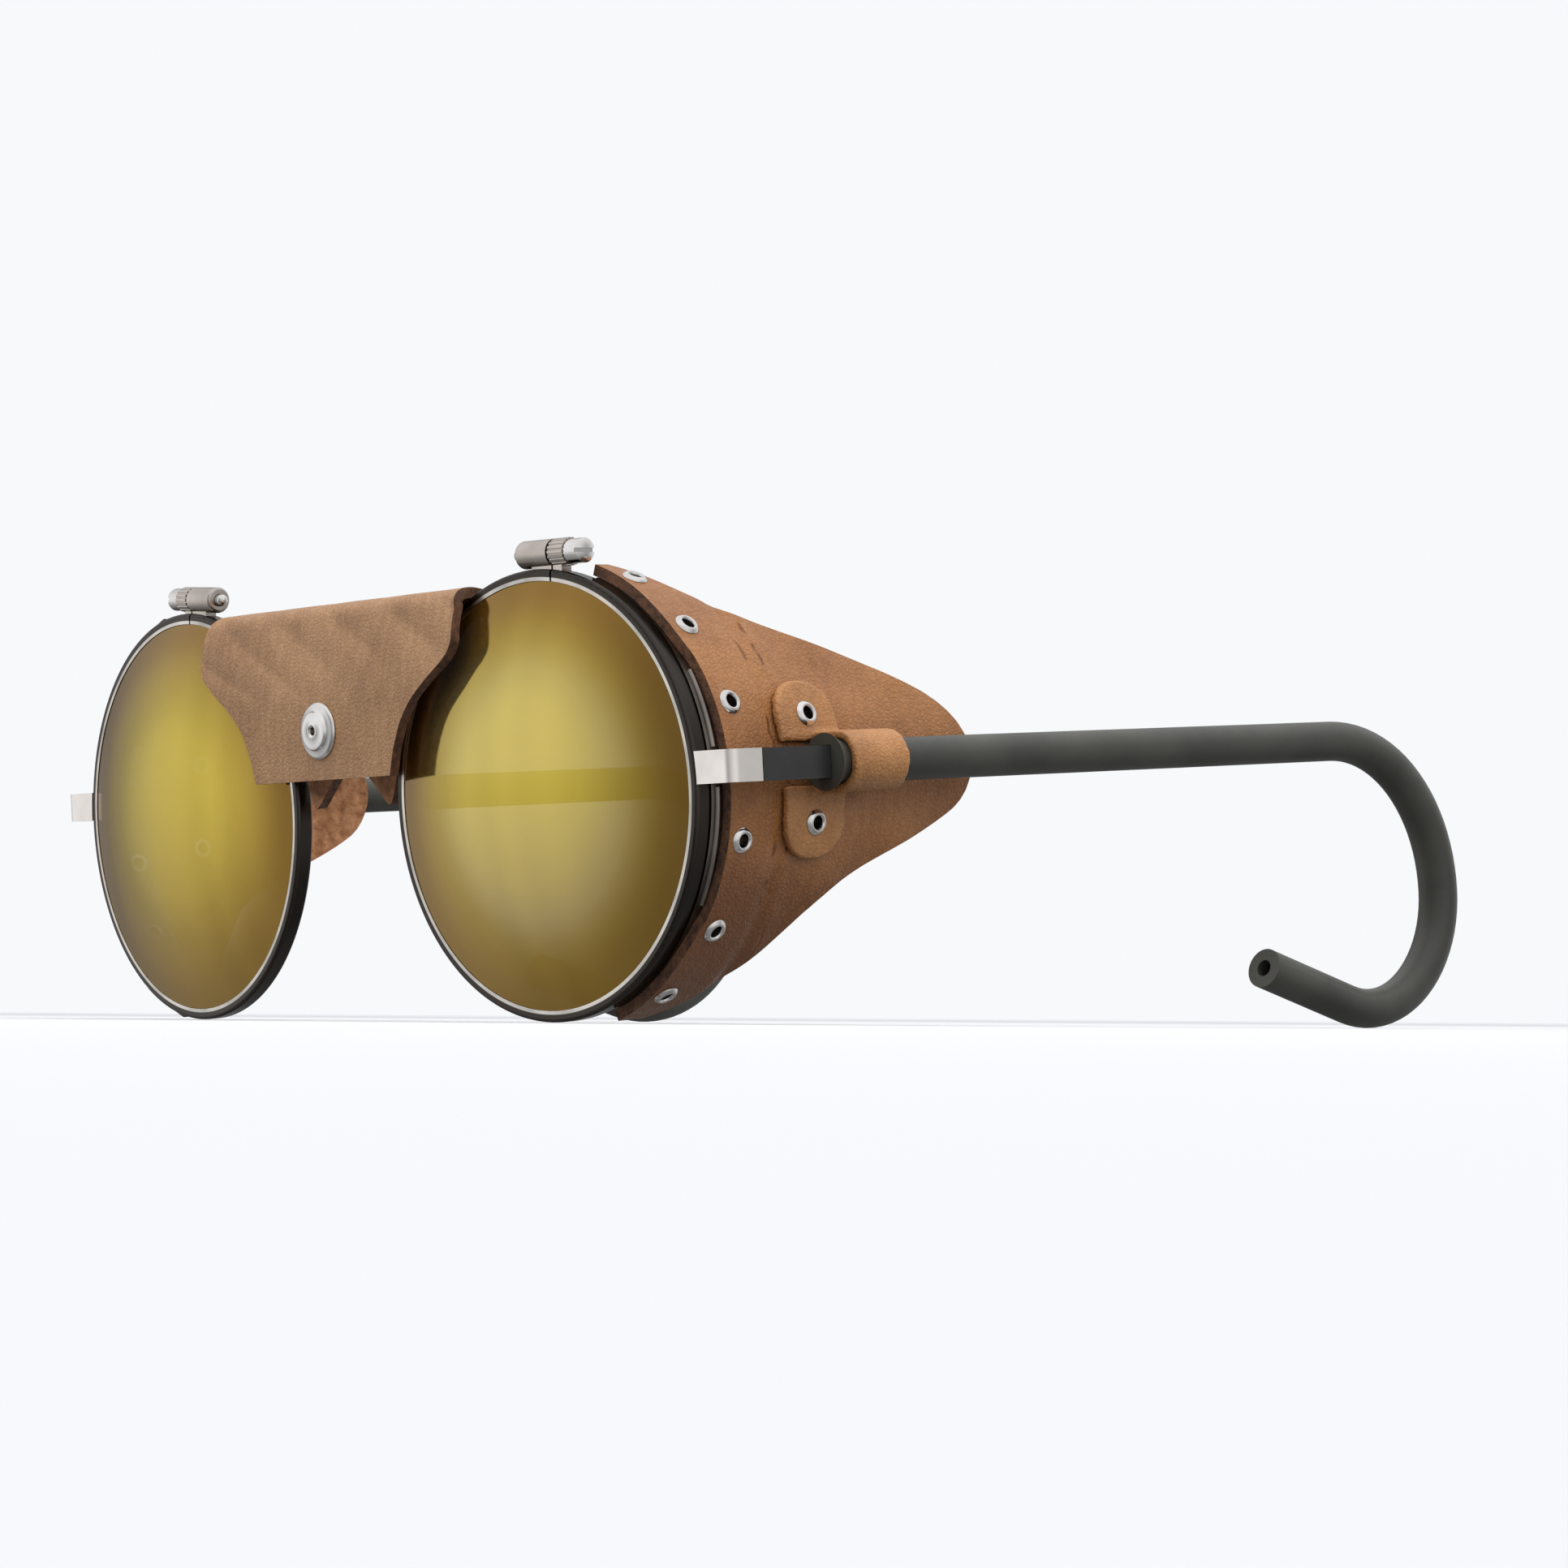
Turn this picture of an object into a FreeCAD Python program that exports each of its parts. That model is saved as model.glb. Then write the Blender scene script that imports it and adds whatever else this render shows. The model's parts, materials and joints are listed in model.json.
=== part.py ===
# Glacier glasses: two round wire rims with leather side shields, a leather nose flap that
# snaps shut, folding temples with sleeved ear hooks, and a screw lock on top of each rim.
#
# Design frame: the rims stand upright with their bottoms at height 0, the front faces -Y and
# +X is the wearer's left. The stand() placement then leans the whole object until the rims
# and the ear hooks rest on one floor, and puts the origin at the bottom centre.
import FreeCAD, Part
import math
import os
import Sketcher

Vector = FreeCAD.Vector
Rotation = FreeCAD.Rotation
Placement = FreeCAD.Placement
X_AXIS = Vector(1, 0, 0)
Y_AXIS = Vector(0, 1, 0)
Z_AXIS = Vector(0, 0, 1)

# Every driving size in millimetres or degrees: name, value, meaning.
SIZES = (
    ("lens_spacing", 73.08, "distance between the two lens centres"),
    ("wrap_angle", 3.13, "turn of each lens plane towards the temple"),
    ("stand_lean", 4.46, "forward lean when resting on rims and hooks"),
    ("rim_outer_radius", 26.25, "outer radius of the rim ring"),
    ("rim_radial", 1.36, "rim section, radial"),
    ("rim_depth", 2.18, "rim section, front to back"),
    ("rim_rounding", 0.45, "rounding of the rim's outer edges"),
    ("groove_depth", 0.5, "depth of the lens groove in the rim"),
    ("groove_width", 1.1, "width of the lens groove"),
    ("lens_clearance", 0.04, "play of the lens in rim and groove"),
    ("lens_thickness", 2.0, "glass thickness"),
    ("lens_base_radius", 88.0, "radius of the domed front surface"),
    ("split_width", 0.3, "gap where the rim is split under its lock"),
    ("lock_radius", 1.65, "rim lock barrel radius"),
    ("lock_height", 1.75, "lock axis above the rim's outer surface"),
    ("lock_neck", 1.5, "thickness of the solder neck, front to back"),
    ("saddle_length", 3.4, "length of the barrel's saddle on the rim"),
    ("barrel_length", 5.5, "smooth barrel length"),
    ("barrel_rounding", 0.4, "rounding of the barrel's outer end"),
    ("nut_length", 2.5, "knurled nut length"),
    ("knurl_radius", 0.14, "radius of one knurl groove"),
    ("knurl_count", 18, "number of knurl grooves"),
    ("split_offset", 1.3, "split position from the lock's middle"),
    ("lock_shift_left", 1.8, "left lock, shift towards the temple"),
    ("lock_shift_right", -1.4, "right lock, shift towards the temple"),
    ("lock_tilt_left", 1.0, "left lock, turn round the rim"),
    ("lock_tilt_right", -4.5, "right lock, turn round the rim"),
    ("shank_radius", 0.75, "lock screw shank radius"),
    ("shank_clearance", 0.06, "radial play of the lock screw"),
    ("head_radius", 1.45, "lock screw head radius"),
    ("head_length", 2.6, "lock screw head length with its dome"),
    ("head_gap", 0.08, "gap between screw head and nut"),
    ("slot_width", 0.5, "screwdriver slot width"),
    ("slot_depth", 0.7, "screwdriver slot depth"),
    ("tip_length", 1.4, "screw tip beyond the barrel"),
    ("bridge_radius", 1.05, "bridge wire radius"),
    ("bridge_span", 16.5, "half width where the bridge meets the rims"),
    ("bridge_foot", 43.0, "height where the bridge meets the rims"),
    ("bridge_top", 48.3, "height of the bridge wire's middle"),
    ("bar_height", 3.7, "height of end piece and temple bar"),
    ("bar_thickness", 2.2, "thickness of end piece and temple bar"),
    ("temple_height", 28.4, "temple centre line above the rim bottom"),
    ("temple_standoff", 6.05, "outer face of the bar outside the rim"),
    ("hinge_back", 4.66, "hinge axis behind the end piece's front"),
    ("end_rounding", 1.2, "rounded outer corner of the end piece"),
    ("hinge_gap", 0.1, "gap between end piece and temple bar"),
    ("knuckle_radius", 1.3, "hinge knuckle radius"),
    ("knuckle_height", 1.3, "height of the middle knuckle"),
    ("knuckle_clearance", 0.14, "free space round a knuckle"),
    ("knuckle_gap", 0.06, "play between knuckles along the pin"),
    ("pin_radius", 0.6, "hinge screw shank radius"),
    ("pin_clearance", 0.04, "radial play of the hinge screw"),
    ("pin_head_radius", 0.9, "hinge screw head radius"),
    ("pin_head_height", 0.5, "hinge screw head height"),
    ("mouth_start", 10.2, "front of the sleeve behind the hinge"),
    ("mouth_radius", 3.3, "flared front radius of the sleeve"),
    ("mouth_length", 1.6, "length of the flare"),
    ("mouth_grip", 0.9, "how far the flare grips the bar"),
    ("tail_length", 5.0, "bar tail inside the sleeve"),
    ("tail_height", 2.4, "bar tail height"),
    ("tail_thickness", 1.8, "bar tail thickness"),
    ("sleeve_radius", 2.5, "rubber sleeve radius"),
    ("core_radius", 1.0, "bendable wire core radius"),
    ("core_clearance", 0.05, "play of core and tail in the sleeve"),
    ("core_setback", 5.0, "core end inside the open sleeve tip"),
    ("hook_start", 96.7, "start of the ear hook behind the hinge"),
    ("hook_radius_left", 20.0, "first bend of the left hook"),
    ("hook_radius_right", 16.0, "first bend of the right hook"),
    ("hook_turn", 20.0, "upward turn of the hook's tip"),
    ("tip_run", 16.3, "straight tip length"),
    ("leather_thickness", 1.3, "side shield and flap leather"),
    ("band_thickness", 0.5, "shield band metal"),
    ("band_depth", 6.1, "shield band, front to back"),
    ("band_reach", 70.0, "shield band angle above and below"),
    ("rail_radius", 0.4, "rolled front edge of the band"),
    ("rail_setback", 0.9, "rolled edge behind the rim"),
    ("rail_reach", 30.0, "rolled edge angle above and below"),
    ("band_clearance", 0.05, "shield outside the band"),
    ("band_window_play", 0.4, "room round the folded bar in the band"),
    ("shield_front", 1.3, "shield edge at its two ends"),
    ("shield_front_middle", 2.8, "shield edge beside the end piece"),
    ("shield_front_step", 18.0, "height where the edge steps back"),
    ("shield_front_flat", 13.0, "height where the step ends"),
    ("shield_length", 42.6, "shield tip behind the lens plane"),
    ("shield_tip_height", 2.9, "shield tip above the lens centre"),
    ("shield_tip_radius", 7.6, "rounded shield tip"),
    ("shoulder_top_back", 10.5, "upper shoulder, back"),
    ("shoulder_top_height", 20.2, "upper shoulder, height"),
    ("shoulder_low_back", 19.8, "lower shoulder, back"),
    ("shoulder_low_height", -12.9, "lower shoulder, height"),
    ("shield_ends", 26.2, "half height of the shield's front"),
    ("shield_start", 6.0, "shield begins this far outside the lens centre"),
    ("eyelet_flange", 1.5, "eyelet flange radius"),
    ("eyelet_flange_height", 0.4, "eyelet flange height"),
    ("eyelet_washer_height", 0.25, "eyelet back washer height"),
    ("eyelet_shank", 0.95, "eyelet shank radius"),
    ("eyelet_hole", 0.75, "eyelet hole radius"),
    ("eyelet_clearance", 0.06, "play of an eyelet in leather and band"),
    ("strap_thickness", 1.0, "loop strap leather"),
    ("strap_front", 11.95, "strap loop front behind the hinge"),
    ("strap_width", 8.3, "strap loop width"),
    ("strap_clearance", 0.05, "strap loop round the sleeve"),
    ("strap_gap", 0.05, "strap lobes outside the shield"),
    ("lobe_front", 7.3, "strap lobes front behind the hinge"),
    ("lobe_width", 9.3, "strap lobe width"),
    ("lobe_rounding", 4.2, "rounded strap lobe ends"),
    ("lobe_top", 9.5, "upper lobe end above the temple line"),
    ("lobe_bottom", 10.9, "lower lobe end below the temple line"),
    ("lobe_eyelet_back", 11.8, "strap eyelets behind the hinge"),
    ("lobe_eyelet_top", 5.4, "upper strap eyelet above the temple line"),
    ("lobe_eyelet_bottom", 6.6, "lower strap eyelet below the temple line"),
    ("flap_top", 51.4, "top of the folded nose flap"),
    ("fold_front", -2.6, "inner front of the fold over the rims"),
    ("fold_back", 0.75, "inner back of the fold over the rims"),
    ("flap_front", -4.8, "inner face of the flap's front panel"),
    ("flap_knee", 40.0, "height where the front panel turns upright"),
    ("flap_bottom", 29.7, "bottom of the front panel"),
    ("flap_back", -0.3, "back face of the flap's back panel"),
    ("back_bend_top", 42.0, "back panel bend, upper height"),
    ("back_bend_low", 39.0, "back panel bend, lower height"),
    ("lobe_tip_height", 26.5, "bottom of the two nose lobes"),
    ("notch_height", 31.5, "top of the notch between the nose lobes"),
    ("lobe_tip_width", 8.4, "half distance between the nose lobe tips"),
    ("back_half_width", 9.4, "half width of the back panel"),
    ("flap_top_half", 25.4, "half width at the fold"),
    ("flap_wide_half", 26.5, "largest half width of the front panel"),
    ("flap_wide_height", 45.0, "height of the largest width"),
    ("flap_waist_half", 17.8, "half width at the waist"),
    ("flap_waist_height", 37.5, "height of the waist"),
    ("flap_bottom_half", 14.1, "half width at the bottom"),
    ("snap_height", 35.7, "snap centre height"),
    ("cap_radius", 3.5, "snap cap flange radius"),
    ("cap_height", 0.5, "snap cap flange height"),
    ("cap_disc_radius", 2.4, "raised disc radius"),
    ("cap_disc_height", 0.7, "raised disc height"),
    ("cap_hole_radius", 0.5, "hole in the middle of the cap"),
    ("snap_post_radius", 1.0, "cap and stud post radius"),
    ("snap_clearance", 0.4, "room for the stud in the socket"),
    ("socket_radius", 3.0, "snap socket radius"),
    ("socket_height", 1.8, "snap socket height"),
    ("snap_engagement", 0.8, "how far the stud enters the socket"),
    ("stud_radius", 3.0, "snap stud flange radius"),
    ("stud_height", 0.5, "snap stud flange height"),
    ("rivet_radius", 2.6, "rivet behind the stud, radius"),
    ("rivet_height", 0.5, "rivet behind the stud, height"),
    ("snap_seat", 0.04, "play between snap parts and leather"),
)

# Rim eyelets: angle round the lens above the outward direction, and distance behind the lens plane.
RIM_EYELETS = ((62.0, 3.4), (42.0, 4.1), (20.0, 5.0), (-13.0, 4.9), (-36.0, 4.3), (-58.0, 3.4))

doc = FreeCAD.newDocument("glacier_glasses")
sheet = doc.addObject("Spreadsheet::Sheet", "Sizes")
for row, (alias, value, meaning) in enumerate(SIZES, start=1):
    sheet.set(f"A{row}", alias)
    sheet.set(f"B{row}", str(value))
    sheet.set(f"C{row}", meaning)
    sheet.setAlias(f"B{row}", alias)
doc.recompute()

sub_parts = []


def size(name):
    """The sheet's value of a named size."""
    return float(sheet.get(name))


def formula(text):
    """An expression with every word that names a size pointed at the sheet."""
    words = {name for name, _, _ in SIZES}
    return "".join(f"Sizes.{piece}" if piece in words else piece for piece in split_words(text))


def split_words(text):
    """The text cut into words and the characters between them."""
    pieces = []
    word = ""
    for letter in text:
        if letter.isalnum() or letter in "_.":
            word += letter
            continue
        pieces += [word, letter]
        word = ""
    return pieces + [word]


def bind(item, **expressions):
    """Bind properties to expressions of the sheet's sizes."""
    for name, text in expressions.items():
        item.setExpression(name, formula(text))
    return item


def move(item, right="", back="", up="", rotation=Rotation()):
    """Turn an object and bind its place to expressions."""
    item.Placement = Placement(Vector(), rotation)
    for axis, text in (("x", right), ("y", back), ("z", up)):
        if text:
            item.setExpression(f".Placement.Base.{axis}", formula(text))
    return item


# ---- Part primitives and booleans -------------------------------------------------------------

def cylinder(name, radius, height, **where):
    item = doc.addObject("Part::Cylinder", name)
    return move(bind(item, Radius=radius, Height=height), **where)


def sector(name, radius, height, turn, **where):
    """A slice of a cylinder, from +X round by an angle."""
    item = cylinder(name, radius, height, **where)
    return bind(item, Angle=turn)


def box(name, length, width, height, **where):
    item = doc.addObject("Part::Box", name)
    return move(bind(item, Length=length, Width=width, Height=height), **where)


def sphere(name, radius, **where):
    item = doc.addObject("Part::Sphere", name)
    return move(bind(item, Radius=radius), **where)


def torus(name, ring, wire, turn, **where):
    """A bent wire, from +X round by an angle."""
    item = doc.addObject("Part::Torus", name)
    return move(bind(item, Radius1=ring, Radius2=wire, Angle3=turn), **where)


def cone(name, front_radius, back_radius, height, **where):
    item = doc.addObject("Part::Cone", name)
    return move(bind(item, Radius1=front_radius, Radius2=back_radius, Height=height), **where)


def fuse(name, *shapes):
    item = doc.addObject("Part::MultiFuse", name)
    item.Shapes = list(shapes)
    return item


def cut(name, base, tool):
    item = doc.addObject("Part::Cut", name)
    item.Base = base
    item.Tool = tool
    return item


def common(name, *shapes):
    item = doc.addObject("Part::MultiCommon", name)
    item.Shapes = list(shapes)
    return item


# ---- PartDesign bodies ------------------------------------------------------------------------

def body(name):
    return doc.addObject("PartDesign::Body", name)


def sketch(owner, plane, offset="0"):
    """A sketch on one of the body's own planes, moved along that plane's normal."""
    item = owner.newObject("Sketcher::SketchObject", f"{owner.Name}_sketch")
    role = [feature for feature in owner.Origin.OriginFeatures if feature.Role == plane][0]
    item.AttachmentSupport = [(role, "")]
    item.MapMode = "FlatFace"
    item.setExpression(".AttachmentOffset.Base.z", formula(offset))
    return item


def pin_point(item, edge, end, right, up):
    """Bind a sketch point to expressions, measured from the sketch's origin."""
    for kind, text in (("DistanceX", right), ("DistanceY", up)):
        value = float(item.evalExpression(formula(text)))
        number = item.addConstraint(Sketcher.Constraint(kind, -1, 1, edge, end, value))
        item.setExpression(f"Constraints[{number}]", formula(text))


def polygon(item, *corners):
    """A closed outline of straight edges through bound corners."""
    places = [[float(item.evalExpression(formula(text))) for text in corner] for corner in corners]
    count = len(corners)
    lines = []
    for index in range(count):
        start = Vector(*places[index], 0)
        end = Vector(*places[(index + 1) % count], 0)
        lines.append(item.addGeometry(Part.LineSegment(start, end), False))
    for index in range(count):
        follower = lines[(index + 1) % count]
        item.addConstraint(Sketcher.Constraint("Coincident", lines[index], 2, follower, 1))
    for line, (right, up) in zip(lines, corners):
        pin_point(item, line, 1, right, up)
    return item


def rectangle(item, left, right, low, high):
    return polygon(item, (left, low), (right, low), (right, high), (left, high))


def circle(item, radius, right="0", up="0"):
    """A bound circle."""
    centre = Vector(*[float(item.evalExpression(formula(text))) for text in (right, up)], 0)
    value = float(item.evalExpression(formula(radius)))
    edge = item.addGeometry(Part.Circle(centre, Z_AXIS, value), False)
    if (right, up) == ("0", "0"):
        item.addConstraint(Sketcher.Constraint("Coincident", edge, 3, -1, 1))
    else:
        pin_point(item, edge, 3, right, up)
    number = item.addConstraint(Sketcher.Constraint("Radius", edge, value))
    item.setExpression(f"Constraints[{number}]", formula(radius))
    return item


def feature(owner, kind, profile, length, both_ways=False, backwards=False):
    """A pad or pocket of a sketch."""
    item = owner.newObject(f"PartDesign::{kind}", f"{owner.Name}_{kind.lower()}")
    item.Profile = profile
    item.Reversed = backwards
    if both_ways:
        item.SideType = "Symmetric"
    bind(item, Length=length)
    owner.Tip = item
    return item


def turned(owner, kind, profile, axis):
    """A full revolution or groove about one of the sketch's axes."""
    item = owner.newObject(f"PartDesign::{kind}", f"{owner.Name}_{kind.lower()}")
    item.Profile = profile
    item.ReferenceAxis = (profile, [axis])
    item.Angle = 360
    owner.Tip = item
    return item


def rounded(owner, radius, wanted):
    """Round the edges of the body so far that the test picks."""
    doc.recompute()
    base = owner.Tip
    names = [f"Edge{number}" for number, edge in enumerate(base.Shape.Edges, start=1) if wanted(edge)]
    item = owner.newObject("PartDesign::Fillet", f"{owner.Name}_fillet")
    item.Base = (base, names)
    bind(item, Radius=radius)
    owner.Tip = item
    return item


def removes(owner, action):
    """Run an action that cuts the body and make sure that it takes material away."""
    doc.recompute()
    before = owner.Shape.Volume
    action()
    doc.recompute()
    if owner.Shape.Volume > before - 1e-3:
        raise RuntimeError(f"{owner.Name}: a cut removes nothing")


# ---- Frames -----------------------------------------------------------------------------------

TO_FRONT_VIEW = Rotation(X_AXIS, 90)          # drawing x, y, z become X, Z, -Y
TO_BACK = Rotation(X_AXIS, -90)               # an upright axis turns to +Y
TO_SIDE_VIEW = Rotation(Vector(1, 1, 1), 120)  # drawing x, y, z become Y, Z, X
ALONG_X = Rotation(Y_AXIS, 90)                # an upright axis turns to +X
OUTER_X = "lens_spacing / 2 + rim_outer_radius * cos(wrap_angle) + temple_standoff"
END_FRONT_Y = "rim_outer_radius * sin(wrap_angle) - rim_depth / 2"


def value_of(text):
    """The number that an expression of sizes gives."""
    return float(sheet.evalExpression(formula(text)))


def lens_frame():
    """Lens centre, x outward, y back, z up."""
    centre = Vector(size("lens_spacing") / 2, 0, size("rim_outer_radius"))
    return Placement(centre, Rotation(Z_AXIS, size("wrap_angle")))


def rim_frame(side):
    """The lens frame turned round the lens until the lock stands on top."""
    turn = Placement(Vector(), Rotation(Y_AXIS, size(f"lock_tilt_{side}")))
    return lens_frame().multiply(turn)


def lock_frame(side):
    """Lock axis at the split, x along the screw."""
    along = value_of(f"lock_shift_{side} + split_offset")
    up = value_of("rim_outer_radius + lock_height")
    return rim_frame(side).multiply(Placement(Vector(along, 0, up), Rotation()))


def hinge_frame():
    """Hinge axis at the temple's height, axes as the design frame."""
    across = value_of(f"{OUTER_X} - bar_thickness")
    back = value_of(f"{END_FRONT_Y} + hinge_back")
    return Placement(Vector(across, back, size("temple_height")), Rotation())


def keep(item, node, side, frame):
    """Name a finished sub-part, put it in its frame, and mirror it for the right side."""
    if side == "right":
        item.Label = f"{node}_master"
        item.Placement = frame
        mirrored = doc.addObject("Part::Mirroring", node)
        mirrored.Source = item
        mirrored.Normal = X_AXIS
        sub_parts.append((mirrored, item, frame))
        mirrored.Label = node
        return
    item.Label = node
    item.Placement = frame
    sub_parts.append((item, item, frame))


# ---- Rims and lenses (lens frame) -------------------------------------------------------------

def make_rim(side):
    """Grooved ring, split under its lock."""
    rim = body(f"Rim_{side}")
    turned(rim, "Revolution", rectangle(
        sketch(rim, "XY_Plane"), "rim_outer_radius - rim_radial", "rim_outer_radius",
        "-rim_depth / 2", "rim_depth / 2"), "V_Axis")
    outer = size("rim_outer_radius")
    rounded(rim, "rim_rounding", lambda edge: hasattr(edge.Curve, "Radius")
            and abs(edge.Curve.Radius - outer) < 1e-6)
    groove = rectangle(
        sketch(rim, "XY_Plane"), "rim_outer_radius - rim_radial * 2",
        "rim_outer_radius - rim_radial + groove_depth", "-groove_width / 2", "groove_width / 2")
    removes(rim, lambda: turned(rim, "Groove", groove, "V_Axis"))
    middle = f"lock_shift_{side} + split_offset"
    slot = rectangle(
        sketch(rim, "XZ_Plane"), f"{middle} - split_width / 2", f"{middle} + split_width / 2",
        "rim_outer_radius / 2", "rim_outer_radius * 2")
    removes(rim, lambda: feature(rim, "Pocket", slot, "rim_depth * 2", both_ways=True))
    keep(rim, f"rim_{side}", side, rim_frame(side))


def make_lens(side):
    """Domed glass disc with a tongue round its edge for the groove."""
    face = "rim_outer_radius - rim_radial - lens_clearance"
    edge = "rim_outer_radius - rim_radial + groove_depth - lens_clearance"
    centre = f"sqrt(lens_base_radius ^ 2 - ({face}) ^ 2) - lens_thickness / 2"
    name = f"Lens_{side}"
    blank = cylinder(f"{name}_blank", face, "rim_outer_radius", back="-rim_outer_radius / 2",
                     rotation=TO_BACK)
    dome = common(f"{name}_dome", blank, sphere(f"{name}_front", "lens_base_radius", back=centre))
    hollow = sphere(f"{name}_back", "lens_base_radius - lens_thickness", back=centre)
    shell = cut(f"{name}_shell", dome, hollow)
    ring = cylinder(f"{name}_ring", edge, "groove_width / 2", back="-groove_width / 4",
                    rotation=TO_BACK)
    inside = cylinder(f"{name}_inside", f"{face} - lens_thickness / 4", "groove_width",
                      back="-groove_width / 2", rotation=TO_BACK)
    tongue = cut(f"{name}_tongue", ring, inside)
    keep(fuse(name, shell, tongue), f"lens_{side}", side, lens_frame())


# ---- Rim lock (lock frame) --------------------------------------------------------------------

def add_neck(tube, side, start, length):
    """A solder neck from a tube down to the rim, then the screw's bore."""
    feature(tube, "Pad", rectangle(
        sketch(tube, "XZ_Plane"), start, f"{start} + {length}",
        "-(lock_height + rim_radial)", "0"), "lock_neck", both_ways=True)
    rim = circle(sketch(tube, "XZ_Plane"), "rim_outer_radius",
                 right=f"-(lock_shift_{side} + split_offset)", up="-(rim_outer_radius + lock_height)")
    removes(tube, lambda: feature(tube, "Pocket", rim, "lock_neck * 4", both_ways=True))
    bore = circle(sketch(tube, "YZ_Plane"), "shank_radius + shank_clearance")
    removes(tube, lambda: feature(tube, "Pocket", bore, "barrel_length * 4", both_ways=True))


def make_lock_barrel(side):
    """Smooth tube soldered to the nasal end of the rim."""
    start = "-(split_width / 2 + barrel_length)"
    barrel = body(f"Barrel_{side}")
    feature(barrel, "Pad", circle(sketch(barrel, "YZ_Plane", start), "lock_radius"), "barrel_length")
    face = value_of(start)
    rounded(barrel, "barrel_rounding", lambda edge: hasattr(edge.Curve, "Radius")
            and abs(edge.BoundBox.Center.x - face) < 1e-6)
    add_neck(barrel, side, "-(split_width / 2 + saddle_length)", "saddle_length")
    keep(barrel, f"lock_barrel_{side}", side, lock_frame(side))


def make_lock_nut(side):
    """Knurled tube soldered to the temple end of the rim."""
    nut = body(f"Nut_{side}")
    feature(nut, "Pad", circle(sketch(nut, "YZ_Plane", "split_width / 2"), "lock_radius"), "nut_length")
    groove = circle(sketch(nut, "YZ_Plane"), "knurl_radius", up="lock_radius")
    removes(nut, lambda: feature(nut, "Pocket", groove, "nut_length * 4", both_ways=True))
    pattern = nut.newObject("PartDesign::PolarPattern", f"Knurl_{side}")
    pattern.Originals = [nut.Tip]
    axis = [item for item in nut.Origin.OriginFeatures if item.Role == "X_Axis"][0]
    pattern.Axis = (axis, [""])
    pattern.Angle = 360
    bind(pattern, Occurrences="knurl_count")
    nut.Tip = pattern
    doc.recompute()
    add_neck(nut, side, "split_width / 2", "nut_length * 0.6")
    keep(nut, f"lock_nut_{side}", side, lock_frame(side))


def make_lock_screw(side):
    """Slotted screw with a domed head on the temple side and a rounded tip."""
    tip_start = "-(split_width / 2 + barrel_length + tip_length)"
    head_start = "split_width / 2 + nut_length + head_gap"
    shank = cylinder(f"Shank_{side}", "shank_radius",
                     f"{head_start} - ({tip_start}) - shank_radius + head_gap",
                     right=f"{tip_start} + shank_radius", rotation=ALONG_X)
    tip = sphere(f"Tip_{side}", "shank_radius", right=f"{tip_start} + shank_radius")
    blank = cylinder(f"Head_blank_{side}", "head_radius", "head_length", right=head_start,
                     rotation=ALONG_X)
    dome = sphere(f"Head_dome_{side}", "head_radius * 1.9",
                  right=f"{head_start} + head_length - head_radius * 1.9")
    head = common(f"Head_{side}", blank, dome)
    slot = box(f"Slot_{side}", "slot_depth * 2", "head_radius * 4", "slot_width",
               right=f"{head_start} + head_length - slot_depth", back="-head_radius * 2",
               up="-slot_width / 2")
    screw = cut(f"Lock_screw_{side}", fuse(f"Screw_blank_{side}", shank, tip, head), slot)
    keep(screw, f"lock_screw_{side}", side, lock_frame(side))


# ---- Bridge (front view drawing) --------------------------------------------------------------

def make_bridge():
    """Arched wire from rim to rim, hidden under the nose flap."""
    rise = "(bridge_top - bridge_foot)"
    bend = f"((bridge_span ^ 2 + {rise} ^ 2) / (2 * {rise}))"
    arch = torus("Bridge_arch", bend, "bridge_radius", "180", back=f"bridge_top - {bend}",
                 up="bridge_span * sin(wrap_angle)")
    tools = [box("Bridge_below", "lens_spacing", "lens_spacing", "rim_outer_radius",
                 right="-lens_spacing / 2", back="bridge_foot - bridge_radius * 4 - lens_spacing",
                 up="-rim_outer_radius / 2")]
    for number, hand in enumerate((1, -1)):
        tools.append(cylinder(f"Bridge_rim_{number}", "rim_outer_radius", "rim_outer_radius",
                              right=f"{hand} * lens_spacing / 2", back="rim_outer_radius",
                              up="-rim_outer_radius / 2"))
    bridge = cut("Bridge", arch, fuse("Bridge_trim", *tools))
    keep(bridge, "bridge_bar", "left", Placement(Vector(), TO_FRONT_VIEW))


# ---- End pieces and hinges (hinge frame) ------------------------------------------------------

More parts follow.
